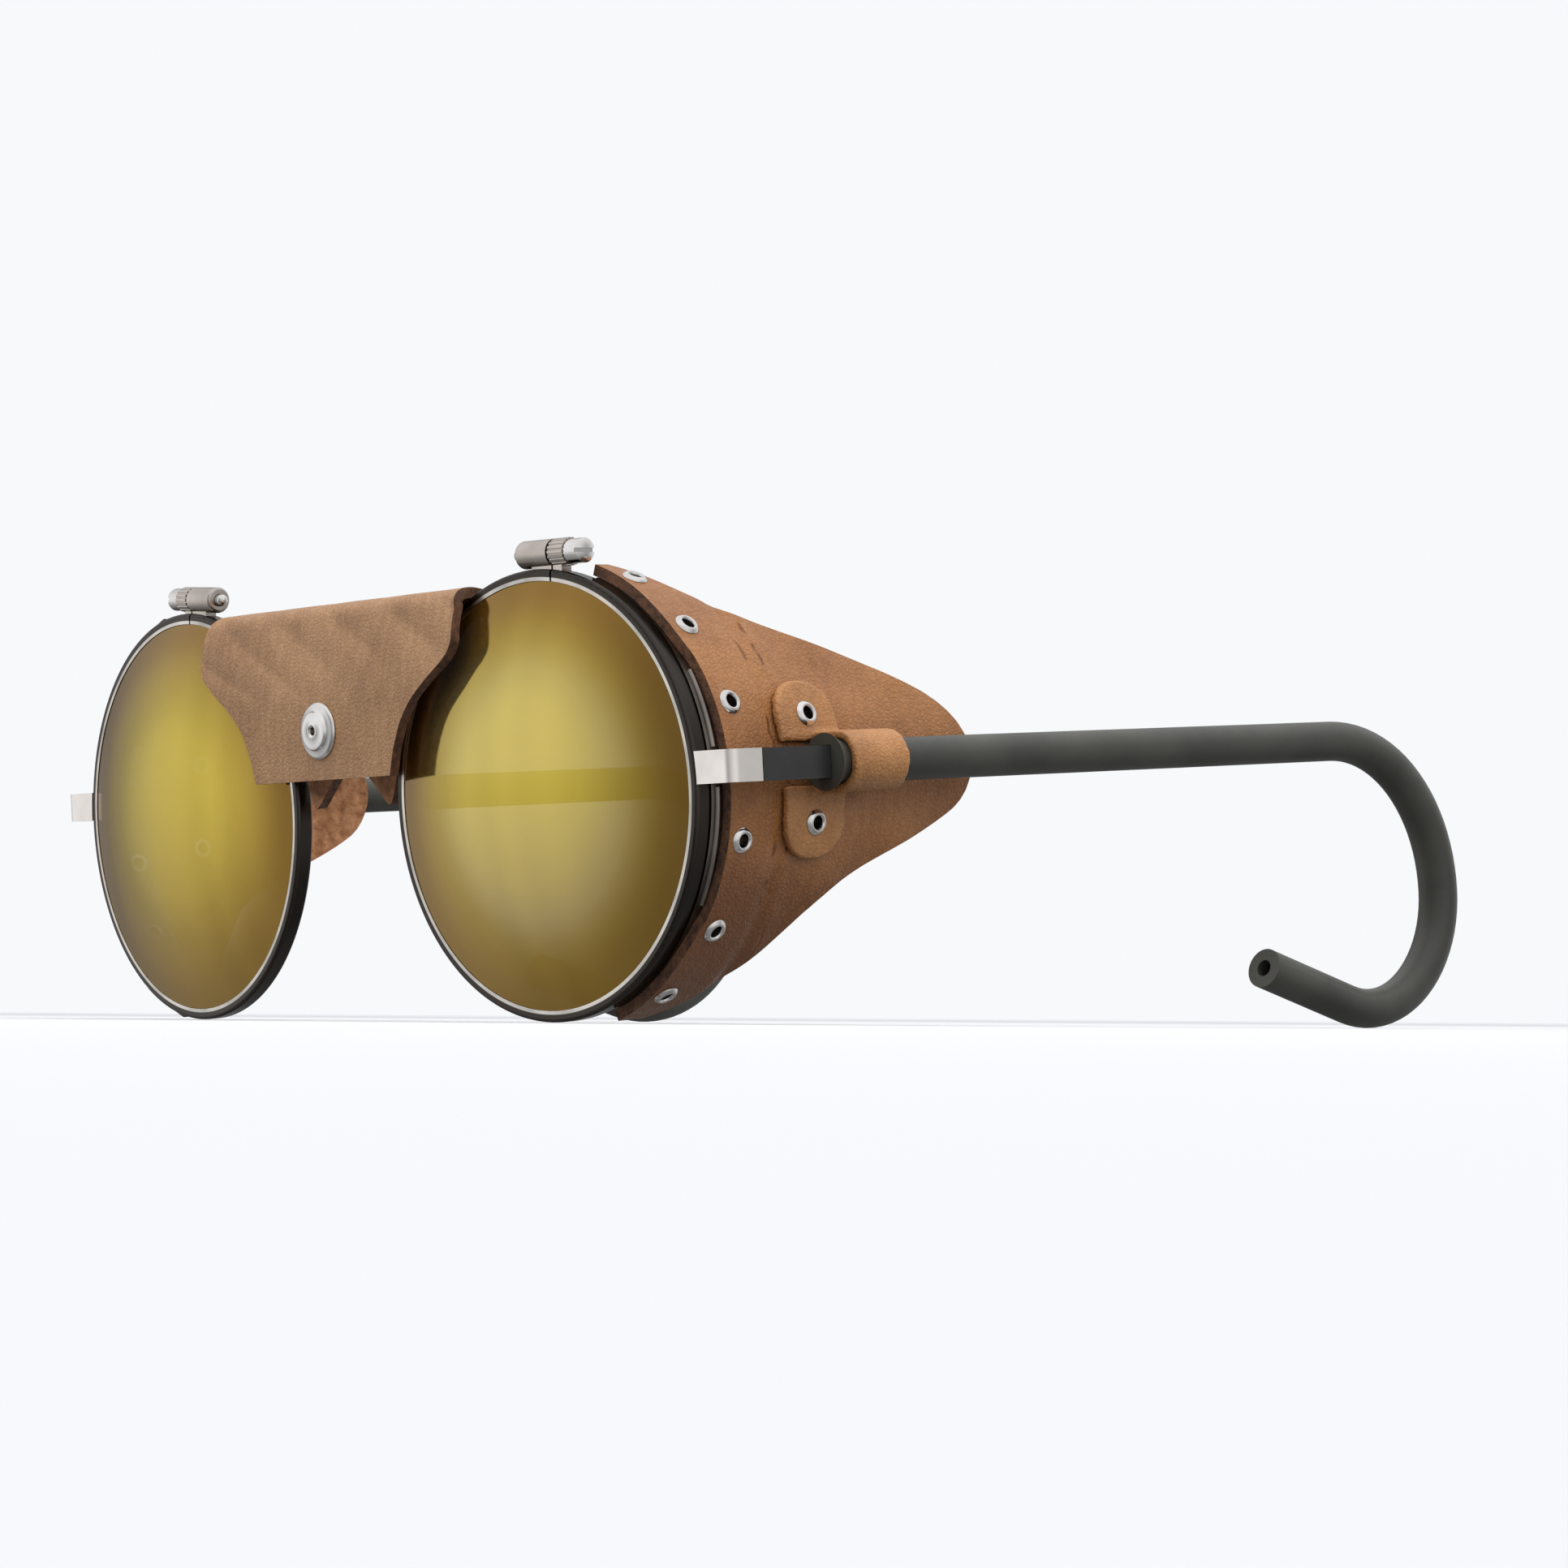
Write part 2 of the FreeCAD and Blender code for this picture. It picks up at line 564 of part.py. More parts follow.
def make_end_piece(side):
    """L-shaped flat bar from the rim to the hinge, with the two outer knuckles."""
    end = body(f"End_{side}")
    inner = "-(temple_standoff - bar_thickness + rim_depth)"
    feature(end, "Pad", rectangle(
        sketch(end, "XY_Plane"), inner, "bar_thickness", "-hinge_back", "-hinge_gap / 2"),
        "bar_height", both_ways=True)
    hollow = rectangle(sketch(end, "XY_Plane"), f"{inner} - rim_depth", "0",
                       "-hinge_back + bar_thickness", "hinge_back")
    removes(end, lambda: feature(end, "Pocket", hollow, "bar_height * 2", both_ways=True))
    corner = Vector(size("bar_thickness"), -size("hinge_back"), 0)
    rounded(end, "end_rounding", lambda edge: edge.BoundBox.Center.distanceToPoint(corner) < 1e-6)
    notch = circle(sketch(end, "XY_Plane"), "knuckle_radius + knuckle_clearance")
    removes(end, lambda: feature(end, "Pocket", notch, "knuckle_height + knuckle_gap * 2",
                                 both_ways=True))
    ear = "bar_height / 2 - knuckle_height / 2 - knuckle_gap"
    lift = "knuckle_height / 2 + knuckle_gap"
    feature(end, "Pad", circle(sketch(end, "XY_Plane", lift), "knuckle_radius"), ear)
    feature(end, "Pad", circle(sketch(end, "XY_Plane", f"-({lift})"), "knuckle_radius"), ear,
            backwards=True)
    hole = circle(sketch(end, "XY_Plane"), "pin_radius + pin_clearance")
    removes(end, lambda: feature(end, "Pocket", hole, "bar_height * 2", both_ways=True))
    seat = circle(sketch(end, "XY_Plane", "bar_height / 2 - pin_head_height"),
                  "pin_head_radius + pin_clearance")
    removes(end, lambda: feature(end, "Pocket", seat, "bar_height", backwards=True))
    rim = cylinder(f"End_rim_{side}", "rim_outer_radius", "rim_outer_radius")
    rim.Placement = hinge_frame().inverse().multiply(lens_frame()).multiply(
        Placement(Vector(0, -size("rim_outer_radius") / 2, 0), TO_BACK))
    keep(cut(f"End_piece_{side}", end, rim), f"end_piece_{side}", side, hinge_frame())


def make_hinge_screw(side):
    """Flush slotted screw through the three knuckles."""
    shank = cylinder(f"Pin_{side}", "pin_radius", "bar_height", up="-bar_height / 2")
    head = cylinder(f"Pin_head_{side}", "pin_head_radius", "pin_head_height",
                    up="bar_height / 2 - pin_head_height")
    slot = box(f"Pin_slot_{side}", "pin_head_radius * 2", "pin_head_height / 2", "pin_head_height / 2",
               right="-pin_head_radius", back="-pin_head_height / 4",
               up="bar_height / 2 - pin_head_height / 2")
    pin = cut(f"Hinge_screw_{side}", fuse(f"Pin_blank_{side}", shank, head), slot)
    keep(pin, f"hinge_screw_{side}", side, hinge_frame())


def make_temple_bar(side):
    """Flat bar with the middle knuckle and a thin tail that the sleeve holds."""
    bar = body(f"Bar_{side}")
    shoulder = "mouth_start + mouth_grip"
    middle = "bar_thickness / 2"
    feature(bar, "Pad", rectangle(
        sketch(bar, "XY_Plane"), "0", "bar_thickness", "hinge_gap / 2", shoulder),
        "bar_height", both_ways=True)
    feature(bar, "Pad", rectangle(
        sketch(bar, "XY_Plane"), f"{middle} - tail_thickness / 2", f"{middle} + tail_thickness / 2",
        f"{shoulder} - hinge_gap", f"{shoulder} + tail_length"), "tail_height", both_ways=True)
    notch = circle(sketch(bar, "XY_Plane"), "knuckle_radius + knuckle_clearance")
    removes(bar, lambda: feature(bar, "Pocket", notch, "bar_height * 2", both_ways=True))
    feature(bar, "Pad", rectangle(
        sketch(bar, "XY_Plane"), "0", "bar_thickness", "hinge_gap / 2", "knuckle_radius * 2"),
        "knuckle_height", both_ways=True)
    feature(bar, "Pad", circle(sketch(bar, "XY_Plane"), "knuckle_radius"), "knuckle_height",
            both_ways=True)
    hole = circle(sketch(bar, "XY_Plane"), "pin_radius + pin_clearance")
    removes(bar, lambda: feature(bar, "Pocket", hole, "bar_height", both_ways=True))
    keep(bar, f"temple_bar_{side}", side, hinge_frame())


# ---- Ear hooks (side view drawing: x back, y up, z outward, from the hinge axis) ---------------

def low_radius(side):
    """Second bend of the hook, so that its sleeve touches the floor line under the rims."""
    top = f"(temple_height - hook_radius_{side})"
    back = f"({END_FRONT_Y} + hinge_back + hook_start + hook_radius_{side} + rim_depth / 2)"
    reach = f"({top} * cos(stand_lean) + {back} * sin(stand_lean) - sleeve_radius)"
    return f"({reach} / (1 + sin(stand_lean)))"


def tip_direction():
    """Direction of the straight tip: forward and upward."""
    turn = math.radians(size("hook_turn"))
    return Vector(-math.cos(turn), math.sin(turn), 0)


def hook_rod(name, side, radius, start, length):
    """A round rod along the temple: straight, two bends and a straight tip."""
    first = f"hook_radius_{side}"
    second = low_radius(side)
    middle = "bar_thickness / 2"
    low_x = f"hook_start + {first} - {second}"
    straight = cylinder(f"{name}_straight", radius, f"hook_start - ({start})", right=start,
                        up=middle, rotation=ALONG_X)
    bend = torus(f"{name}_bend", first, radius, "90", right="hook_start", back=f"-{first}", up=middle)
    low = torus(f"{name}_low", second, radius, "90 + hook_turn", right=low_x, back=f"-{first}",
                up=middle, rotation=Rotation(Z_AXIS, -90 - size("hook_turn")))
    tip = cylinder(f"{name}_tip", radius, length, right=f"{low_x} - {second} * sin(hook_turn)",
                   back=f"-{first} - {second} * cos(hook_turn)", up=middle,
                   rotation=Rotation(Z_AXIS, tip_direction()))
    return [straight, bend, low, tip]


def side_view_frame():
    return hinge_frame().multiply(Placement(Vector(), TO_SIDE_VIEW))


def make_temple_sleeve(side):
    """Rubber sleeve: flared mouth over the bar, ear hook and an open tip."""
    name = f"Sleeve_{side}"
    middle = "bar_thickness / 2"
    mouth = cone(f"{name}_mouth", "mouth_radius", "sleeve_radius", "mouth_length",
                 right="mouth_start", up=middle, rotation=ALONG_X)
    rods = hook_rod(f"{name}_rod", side, "sleeve_radius", "mouth_start + mouth_length", "tip_run")
    outside = fuse(f"{name}_outside", mouth, *rods)
    tail_end = "mouth_start + mouth_grip + tail_length"
    grip = box(f"{name}_grip", "mouth_grip * 2", "bar_height + core_clearance * 2",
               "bar_thickness + core_clearance * 2", right="mouth_start - mouth_grip",
               back="-bar_height / 2 - core_clearance", up="-core_clearance")
    tail = box(f"{name}_tail", f"{tail_end} - mouth_start", "tail_height + core_clearance * 2",
               "tail_thickness + core_clearance * 2", right="mouth_start",
               back="-tail_height / 2 - core_clearance",
               up=f"{middle} - tail_thickness / 2 - core_clearance")
    bore = hook_rod(f"{name}_bore", side, "core_radius + core_clearance", tail_end, "tip_run * 2")
    inside = fuse(f"{name}_inside", grip, tail, *bore)
    keep(cut(name, outside, inside), f"temple_sleeve_{side}", side, side_view_frame())


def make_temple_core(side):
    """Bendable wire inside the sleeve."""
    rods = hook_rod(f"Core_rod_{side}", side, "core_radius",
                    "mouth_start + mouth_grip + tail_length", "tip_run - core_setback")
    keep(fuse(f"Core_{side}", *rods), f"temple_core_{side}", side, side_view_frame())


# ---- Shield band, side shield and eyelets (lens frame) ----------------------------------------

SHIELD_INNER = "(rim_outer_radius + band_clearance)"
SHIELD_OUTER = f"({SHIELD_INNER} + leather_thickness)"
BAND_INNER = "(rim_outer_radius - band_thickness)"


def radial_frame(angle, back, radius):
    """A frame on a cylinder round the lens axis: z outward, at an angle above outward."""
    turn = Placement(Vector(0, back, 0), Rotation(Y_AXIS, 90 - angle))
    return turn.multiply(Placement(Vector(0, 0, radius), Rotation()))


def lobe_places():
    """Angle and distance behind the lens plane of the two strap eyelets."""
    places = []
    radius = value_of(SHIELD_OUTER)
    hinge_y = value_of(f"{END_FRONT_Y} + hinge_back")
    wrap = math.radians(size("wrap_angle"))
    for rise in (size("lobe_eyelet_top"), -size("lobe_eyelet_bottom")):
        angle = math.asin((size("temple_height") + rise - size("rim_outer_radius")) / radius)
        across = radius * math.cos(angle)
        back = (hinge_y + size("lobe_eyelet_back") - across * math.sin(wrap)) / math.cos(wrap)
        places.append((math.degrees(angle), back))
    return tuple(places)


def eyelet_drills(name, places):
    """Cylinders that clear the eyelet shanks through leather and metal."""
    drills = []
    for number, (angle, back) in enumerate(places):
        drill = cylinder(f"{name}_{number}", "eyelet_shank + eyelet_clearance",
                         "leather_thickness * 6")
        drill.Placement = radial_frame(angle, back, value_of(f"{BAND_INNER} - leather_thickness"))
        drills.append(drill)
    return fuse(name, *drills)


def make_shield_band(side):
    """Thin metal band behind the rim with a rolled front edge above and below the end piece."""
    name = f"Band_{side}"
    wide = sector(f"{name}_outside", "rim_outer_radius", "band_depth", "band_reach * 2",
                  up="-(rim_depth / 2 + band_depth)", rotation=Rotation(Z_AXIS, -size("band_reach")))
    hollow = cylinder(f"{name}_inside", BAND_INNER, "band_depth * 3", up="-(rim_depth + band_depth * 2)")
    rise = "(temple_height - rim_outer_radius)"
    upper = value_of(f"asin(({rise} + bar_height / 2 + rail_radius) / rim_outer_radius)")
    lower = value_of(f"asin(({rise} - bar_height / 2 - rail_radius) / rim_outer_radius)")
    rails = []
    for number, (start, end) in enumerate(((upper, size("rail_reach")), (-size("rail_reach"), lower))):
        rails.append(torus(f"{name}_rail_{number}", "rim_outer_radius", "rail_radius",
                           str(end - start), up="-(rim_depth / 2 + rail_setback)",
                           rotation=Rotation(Z_AXIS, start)))
    formed = fuse(f"{name}_formed", cut(f"{name}_strip", wide, hollow), *rails)
    formed.Placement = Placement(Vector(), TO_FRONT_VIEW)
    window = box(f"{name}_window", "rim_outer_radius", "band_depth * 4",
                 "bar_height + band_window_play * 2")
    half_high = value_of("bar_height / 2 + band_window_play")
    corner = Placement(Vector(-size("rim_outer_radius") / 2, -size("hinge_gap"), -half_high), Rotation())
    window.Placement = lens_frame().inverse().multiply(hinge_frame()).multiply(corner)
    tools = fuse(f"{name}_tools", eyelet_drills(f"{name}_drills", RIM_EYELETS), window)
    keep(cut(name, formed, tools), f"shield_band_{side}", side, lens_frame())


def make_side_shield(side):
    """Curved leather wall round the temple side of the rim, tapering to a rounded tip."""
    name = f"Shield_{side}"
    outline = body(f"{name}_outline")
    corner_back = "shield_length + shield_tip_radius * 1.56"
    feature(outline, "Pad", polygon(
        sketch(outline, "YZ_Plane", "shield_start"),
        ("shield_front", "-shield_ends"),
        ("shield_front + 4", "-shield_ends"),
        ("shield_front + 7", "-shield_ends + 2"),
        ("shoulder_low_back", "shoulder_low_height"),
        (corner_back, "shield_tip_height"),
        ("shoulder_top_back", "shoulder_top_height"),
        ("shield_front + 4", "shield_ends - 2"),
        ("shield_front + 2", "shield_ends"),
        ("shield_front", "shield_ends"),
        ("shield_front", "shield_front_step"),
        ("shield_front_middle", "shield_front_flat"),
        ("shield_front_middle", "-shield_front_flat"),
        ("shield_front", "-shield_front_step")), "rim_outer_radius")
    corner = value_of(corner_back)
    rounded(outline, "shield_tip_radius", lambda edge: edge.BoundBox.XLength > 1
            and abs(edge.BoundBox.Center.y - corner) < 1e-6)
    outside = cylinder(f"{name}_outside", SHIELD_OUTER, "shield_length * 2", rotation=TO_BACK)
    inside = cylinder(f"{name}_inside", SHIELD_INNER, "shield_length * 3", rotation=TO_BACK)
    blank = common(f"{name}_blank", cut(f"{name}_wall", outside, inside), outline)
    drills = eyelet_drills(f"{name}_drills", RIM_EYELETS + lobe_places())
    keep(cut(name, blank, drills), f"side_shield_{side}", side, lens_frame())


def eyelet(name, stack):
    """Flange outside, shank through the stack, washer inside; z is outward."""
    flange = cylinder(f"{name}_flange", "eyelet_flange", "eyelet_flange_height", up=stack)
    shank = cylinder(f"{name}_shank", "eyelet_shank", f"{stack} + eyelet_washer_height",
                     up="-eyelet_washer_height")
    washer = cylinder(f"{name}_washer", "eyelet_flange * 0.9", "eyelet_washer_height",
                      up="-eyelet_washer_height")
    hole = cylinder(f"{name}_hole", "eyelet_hole", "leather_thickness * 8", up="-leather_thickness * 2")
    return cut(name, fuse(f"{name}_blank", flange, shank, washer), hole)


def eyelet_group(name, model, places, radius):
    """One eyelet linked to each place."""
    links = []
    for number, (angle, back) in enumerate(places):
        link = doc.addObject("App::Link", f"{name}_{number}")
        link.LinkedObject = model
        link.Placement = radial_frame(angle, back, radius)
        links.append(link)
    group = doc.addObject("Part::Compound", name)
    group.Links = links
    return group


def make_eyelets(side):
    """Six eyelets along the rim and two through the loop strap."""
    rim_model = eyelet(f"Rim_eyelet_{side}", f"{SHIELD_OUTER} - {BAND_INNER} + snap_seat")
    rim_group = eyelet_group(f"Rim_eyelets_{side}", rim_model, RIM_EYELETS,
                             value_of(f"{BAND_INNER} - snap_seat / 2"))
    keep(rim_group, f"shield_eyelets_{side}", side, lens_frame())
    strap_model = eyelet(f"Strap_eyelet_{side}",
                         "leather_thickness + strap_gap + strap_thickness + snap_seat * 2")
    strap_group = eyelet_group(f"Strap_eyelets_{side}", strap_model, lobe_places(),
                               value_of(f"{SHIELD_INNER} - snap_seat"))
    keep(strap_group, f"loop_eyelets_{side}", side, lens_frame())


def make_loop_strap(side):
    """Leather strap round the sleeve; its two lobes lie on the side shield (hinge frame)."""
    name = f"Strap_{side}"
    from_lens = hinge_frame().inverse().multiply(lens_frame())
    upright = Placement(Vector(), TO_BACK)
    middle = "bar_thickness / 2"
    loop_inner = "(sleeve_radius + strap_clearance)"
    loop_outer = f"({loop_inner} + strap_thickness)"
    wall = cylinder(f"{name}_wall", f"{SHIELD_OUTER} + strap_gap + strap_thickness", "shield_length")
    wall.Placement = from_lens.multiply(upright)
    outline = body(f"{name}_outline")
    feature(outline, "Pad", rectangle(
        sketch(outline, "YZ_Plane", "-rim_outer_radius / 3"), "lobe_front", "lobe_front + lobe_width",
        "-lobe_bottom", "lobe_top"), "rim_outer_radius")
    rounded(outline, "lobe_rounding", lambda edge: edge.BoundBox.XLength > 1)
    lobes = common(f"{name}_lobes", wall, outline)
    tube = cylinder(f"{name}_tube", loop_outer, "strap_width", right=middle, back="strap_front",
                    rotation=TO_BACK)
    legs = box(f"{name}_legs", "temple_standoff", "strap_width", f"{loop_outer} * 2",
               right=f"{middle} - temple_standoff", back="strap_front", up=f"-{loop_outer}")
    hole = cylinder(f"{name}_hole", loop_inner, "shield_length", right=middle, rotation=TO_BACK)
    slot = box(f"{name}_slot", "rim_outer_radius", "shield_length", f"{loop_inner} * 2",
               right=f"{middle} - rim_outer_radius", up=f"-{loop_inner}")
    shield = cylinder(f"{name}_shield", f"{SHIELD_OUTER} + strap_gap", "shield_length * 2")
    shield.Placement = from_lens.multiply(upright)
    drills = eyelet_drills(f"{name}_drills", lobe_places())
    drills.Placement = from_lens
    blank = fuse(f"{name}_blank", lobes, tube, legs)
    tools = fuse(f"{name}_tools", hole, slot, shield, drills)
    keep(cut(name, blank, tools), f"loop_strap_{side}", side, hinge_frame())


# ---- Nose flap and its snap (design frame) ----------------------------------------------------

def make_nose_flap():
    """One folded piece of leather: front panel over the bridge, back panel with two nose lobes."""
    front = body("Flap_front")
    feature(front, "Pad", polygon(
        sketch(front, "YZ_Plane"),
        ("fold_back", "flap_top"), ("fold_front - leather_thickness", "flap_top"),
        ("flap_front - leather_thickness", "flap_knee"),
        ("flap_front - leather_thickness", "flap_bottom"), ("flap_front", "flap_bottom"),
        ("flap_front", "flap_knee"), ("fold_front", "flap_top - leather_thickness"),
        ("fold_back", "flap_top - leather_thickness")), "flap_wide_half * 2", both_ways=True)
    front_shape = body("Flap_front_outline")
    feature(front_shape, "Pad", polygon(
        sketch(front_shape, "XZ_Plane"),
        ("-flap_top_half", "flap_top"), ("-flap_wide_half", "flap_wide_height"),
        ("-flap_waist_half", "flap_waist_height"), ("-flap_bottom_half", "flap_bottom"),
        ("flap_bottom_half", "flap_bottom"), ("flap_waist_half", "flap_waist_height"),
        ("flap_wide_half", "flap_wide_height"), ("flap_top_half", "flap_top")),
        "flap_top", both_ways=True)
    back = body("Flap_back")
    feature(back, "Pad", polygon(
        sketch(back, "YZ_Plane"),
        ("fold_back", "flap_top"), ("fold_back + leather_thickness", "flap_top"),
        ("fold_back + leather_thickness", "back_bend_top"), ("flap_back", "back_bend_low"),
        ("flap_back", "lobe_tip_height"), ("flap_back - leather_thickness", "lobe_tip_height"),
        ("flap_back - leather_thickness", "back_bend_low"), ("fold_back", "back_bend_top")),
        "flap_wide_half * 2", both_ways=True)
    back_shape = body("Flap_back_outline")
    feature(back_shape, "Pad", polygon(
        sketch(back_shape, "XZ_Plane"),
        ("-back_half_width * 1.7", "flap_top"), ("-back_half_width * 1.5", "back_bend_top + 2"),
        ("-back_half_width", "back_bend_low - 2"), ("-back_half_width", "notch_height"),
        ("-lobe_tip_width", "lobe_tip_height"), ("0", "notch_height"),
        ("lobe_tip_width", "lobe_tip_height"), ("back_half_width", "notch_height"),
        ("back_half_width", "back_bend_low - 2"), ("back_half_width * 1.5", "back_bend_top + 2"),
        ("back_half_width * 1.7", "flap_top")), "flap_top", both_ways=True)
    leather = fuse("Flap_leather", common("Flap_front_panel", front, front_shape),
                   common("Flap_back_panel", back, back_shape))
    drill = cylinder("Flap_drill", "snap_post_radius + snap_seat", "flap_top",
                     back="-flap_top / 2", up="snap_height", rotation=TO_BACK)
    keep(cut("Nose_flap", leather, drill), "nose_flap", "left", Placement())


def snap_disc(name, radius, height, start):
    """A round piece of the snap, from a place on its axis towards the back."""
    return cylinder(name, radius, height, back=start, up="snap_height", rotation=TO_BACK)


def make_snap():
    """Cap and socket on the front panel, stud and rivet on the back panel."""
    outer = "(flap_front - leather_thickness - snap_seat / 2)"
    flange = snap_disc("Cap_flange", "cap_radius", "cap_height", f"{outer} - cap_height")
    disc = snap_disc("Cap_disc", "cap_disc_radius", "cap_disc_height + cap_height",
                     f"{outer} - cap_height - cap_disc_height")
    post = snap_disc("Cap_post", "snap_post_radius", "leather_thickness + snap_seat / 2", outer)
    hole = snap_disc("Cap_hole", "cap_hole_radius", "cap_disc_height * 2",
                     f"{outer} - cap_height - cap_disc_height * 2")
    cap = cut("Snap_cap", fuse("Cap_blank", flange, disc, post), hole)
    keep(cap, "snap_cap", "left", Placement())

    ring = snap_disc("Socket_ring", "socket_radius", "socket_height", "flap_front + snap_seat / 2")
    floor_height = "(socket_height - snap_engagement) / 2"
    mouth = snap_disc("Socket_mouth", "snap_post_radius + snap_clearance", "socket_height * 2",
                      f"flap_front + {floor_height}")
    keep(cut("Snap_socket", ring, mouth), "snap_socket", "left", Placement())

    panel = "(flap_back - leather_thickness - snap_seat / 2)"
    base = snap_disc("Stud_base", "stud_radius", "stud_height", f"{panel} - stud_height")
    stud_tip = "(flap_front + socket_height - snap_engagement)"
    pin = snap_disc("Stud_pin", "snap_post_radius", f"flap_back - {stud_tip}", stud_tip)
    keep(fuse("Snap_stud", base, pin), "snap_stud", "left", Placement())
    rivet = snap_disc("Rivet_head", "rivet_radius", "rivet_height", "flap_back + snap_seat / 2")
    dimple = snap_disc("Rivet_dimple", "snap_post_radius", "rivet_height",
                       "flap_back + snap_seat / 2 + rivet_height / 2")
    keep(cut("Snap_rivet", rivet, dimple), "snap_rivet", "left", Placement())


# ---- Stand, checks and files ------------------------------------------------------------------

def lean():
    """The forward lean about the rim bottoms."""
    return Placement(Vector(), Rotation(X_AXIS, size("stand_lean")))


def place_all():
    """Lean every sub-part and put the bottom centre of the whole at the origin."""
    for _, placed, frame in sub_parts:
        placed.Placement = lean().multiply(frame)
    doc.recompute()
    whole = Part.makeCompound([item.Shape for item, _, _ in sub_parts]).optimalBoundingBox(False)
    shift = Vector(0, -(whole.YMin + whole.YMax) / 2, -whole.ZMin)
    stand = Placement(shift, lean().Rotation)
    for _, placed, frame in sub_parts:
        placed.Placement = stand.multiply(frame)
    doc.recompute()
    return stand


def check_and_write():
    """Stop on any failed object or bad shape, then write one file per sub-part."""
    for item in doc.Objects:
        if "Invalid" in item.State or "Error" in item.State:
            raise RuntimeError(f"{item.Name} failed: {item.State}")
    for item, _, _ in sub_parts:
        if item.Shape.isNull() or not item.Shape.isValid() or not item.Shape.Solids:
            raise RuntimeError(f"{item.Label} has no valid solid")
    os.makedirs("parts", exist_ok=True)
    for item, _, _ in sub_parts:
        item.Shape.exportStep(f"parts/{item.Label}.step")
        print(f"{item.Label}: {len(item.Shape.Solids)} solids, {item.Shape.Volume:.1f} mm3")


def build():
    """Make every sub-part, stand the glasses on their floor and write the files."""
    for side in ("left", "right"):
        make_rim(side)
        make_lens(side)
        make_lock_barrel(side)
        make_lock_nut(side)
        make_lock_screw(side)
        make_end_piece(side)
        make_hinge_screw(side)
        make_temple_bar(side)
        make_temple_sleeve(side)
        make_temple_core(side)
        make_shield_band(side)
        make_side_shield(side)
        make_eyelets(side)
        make_loop_strap(side)
    make_bridge()
    make_nose_flap()
    make_snap()
    placed = place_all()
    check_and_write()
    return placed


stand = build()
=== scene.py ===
import json
import logging
import math
from dataclasses import dataclass, field
from enum import Enum
from typing import Callable

import bpy
from mathutils import Matrix, Vector


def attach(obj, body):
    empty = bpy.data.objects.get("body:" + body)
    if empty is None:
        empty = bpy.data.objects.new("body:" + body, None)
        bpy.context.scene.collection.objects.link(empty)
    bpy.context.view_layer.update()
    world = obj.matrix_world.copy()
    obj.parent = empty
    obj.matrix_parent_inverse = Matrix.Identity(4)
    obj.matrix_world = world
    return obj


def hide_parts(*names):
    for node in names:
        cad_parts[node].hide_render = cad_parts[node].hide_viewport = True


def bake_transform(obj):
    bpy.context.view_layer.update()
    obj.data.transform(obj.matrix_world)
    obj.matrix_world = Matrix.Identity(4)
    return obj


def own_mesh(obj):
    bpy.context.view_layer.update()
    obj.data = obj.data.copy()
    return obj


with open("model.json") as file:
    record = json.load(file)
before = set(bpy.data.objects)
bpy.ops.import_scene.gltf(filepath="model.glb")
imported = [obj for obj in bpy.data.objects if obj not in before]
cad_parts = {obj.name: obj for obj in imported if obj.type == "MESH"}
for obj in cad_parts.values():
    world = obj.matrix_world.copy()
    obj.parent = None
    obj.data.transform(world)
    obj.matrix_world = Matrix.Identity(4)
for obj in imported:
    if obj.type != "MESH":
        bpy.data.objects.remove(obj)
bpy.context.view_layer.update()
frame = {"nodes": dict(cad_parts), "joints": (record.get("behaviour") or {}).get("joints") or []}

MM = 0.001
X_AXIS = Vector((1.0, 0.0, 0.0))

logging.basicConfig(level=logging.INFO, format="%(message)s")
log = logging.getLogger("glacier_glasses")

Colour = tuple[float, float, float]
Point = tuple[float, float]
Point3 = tuple[float, float, float]


class Side(Enum):
    """Which side of the wearer a piece is on; the value mirrors X."""

    LEFT = 1
    RIGHT = -1

    @property
    def word(self) -> str:
        """The side's name as it ends a node's name."""
        return self.name.lower()


# ---- Shader building blocks -------------------------------------------------------------------


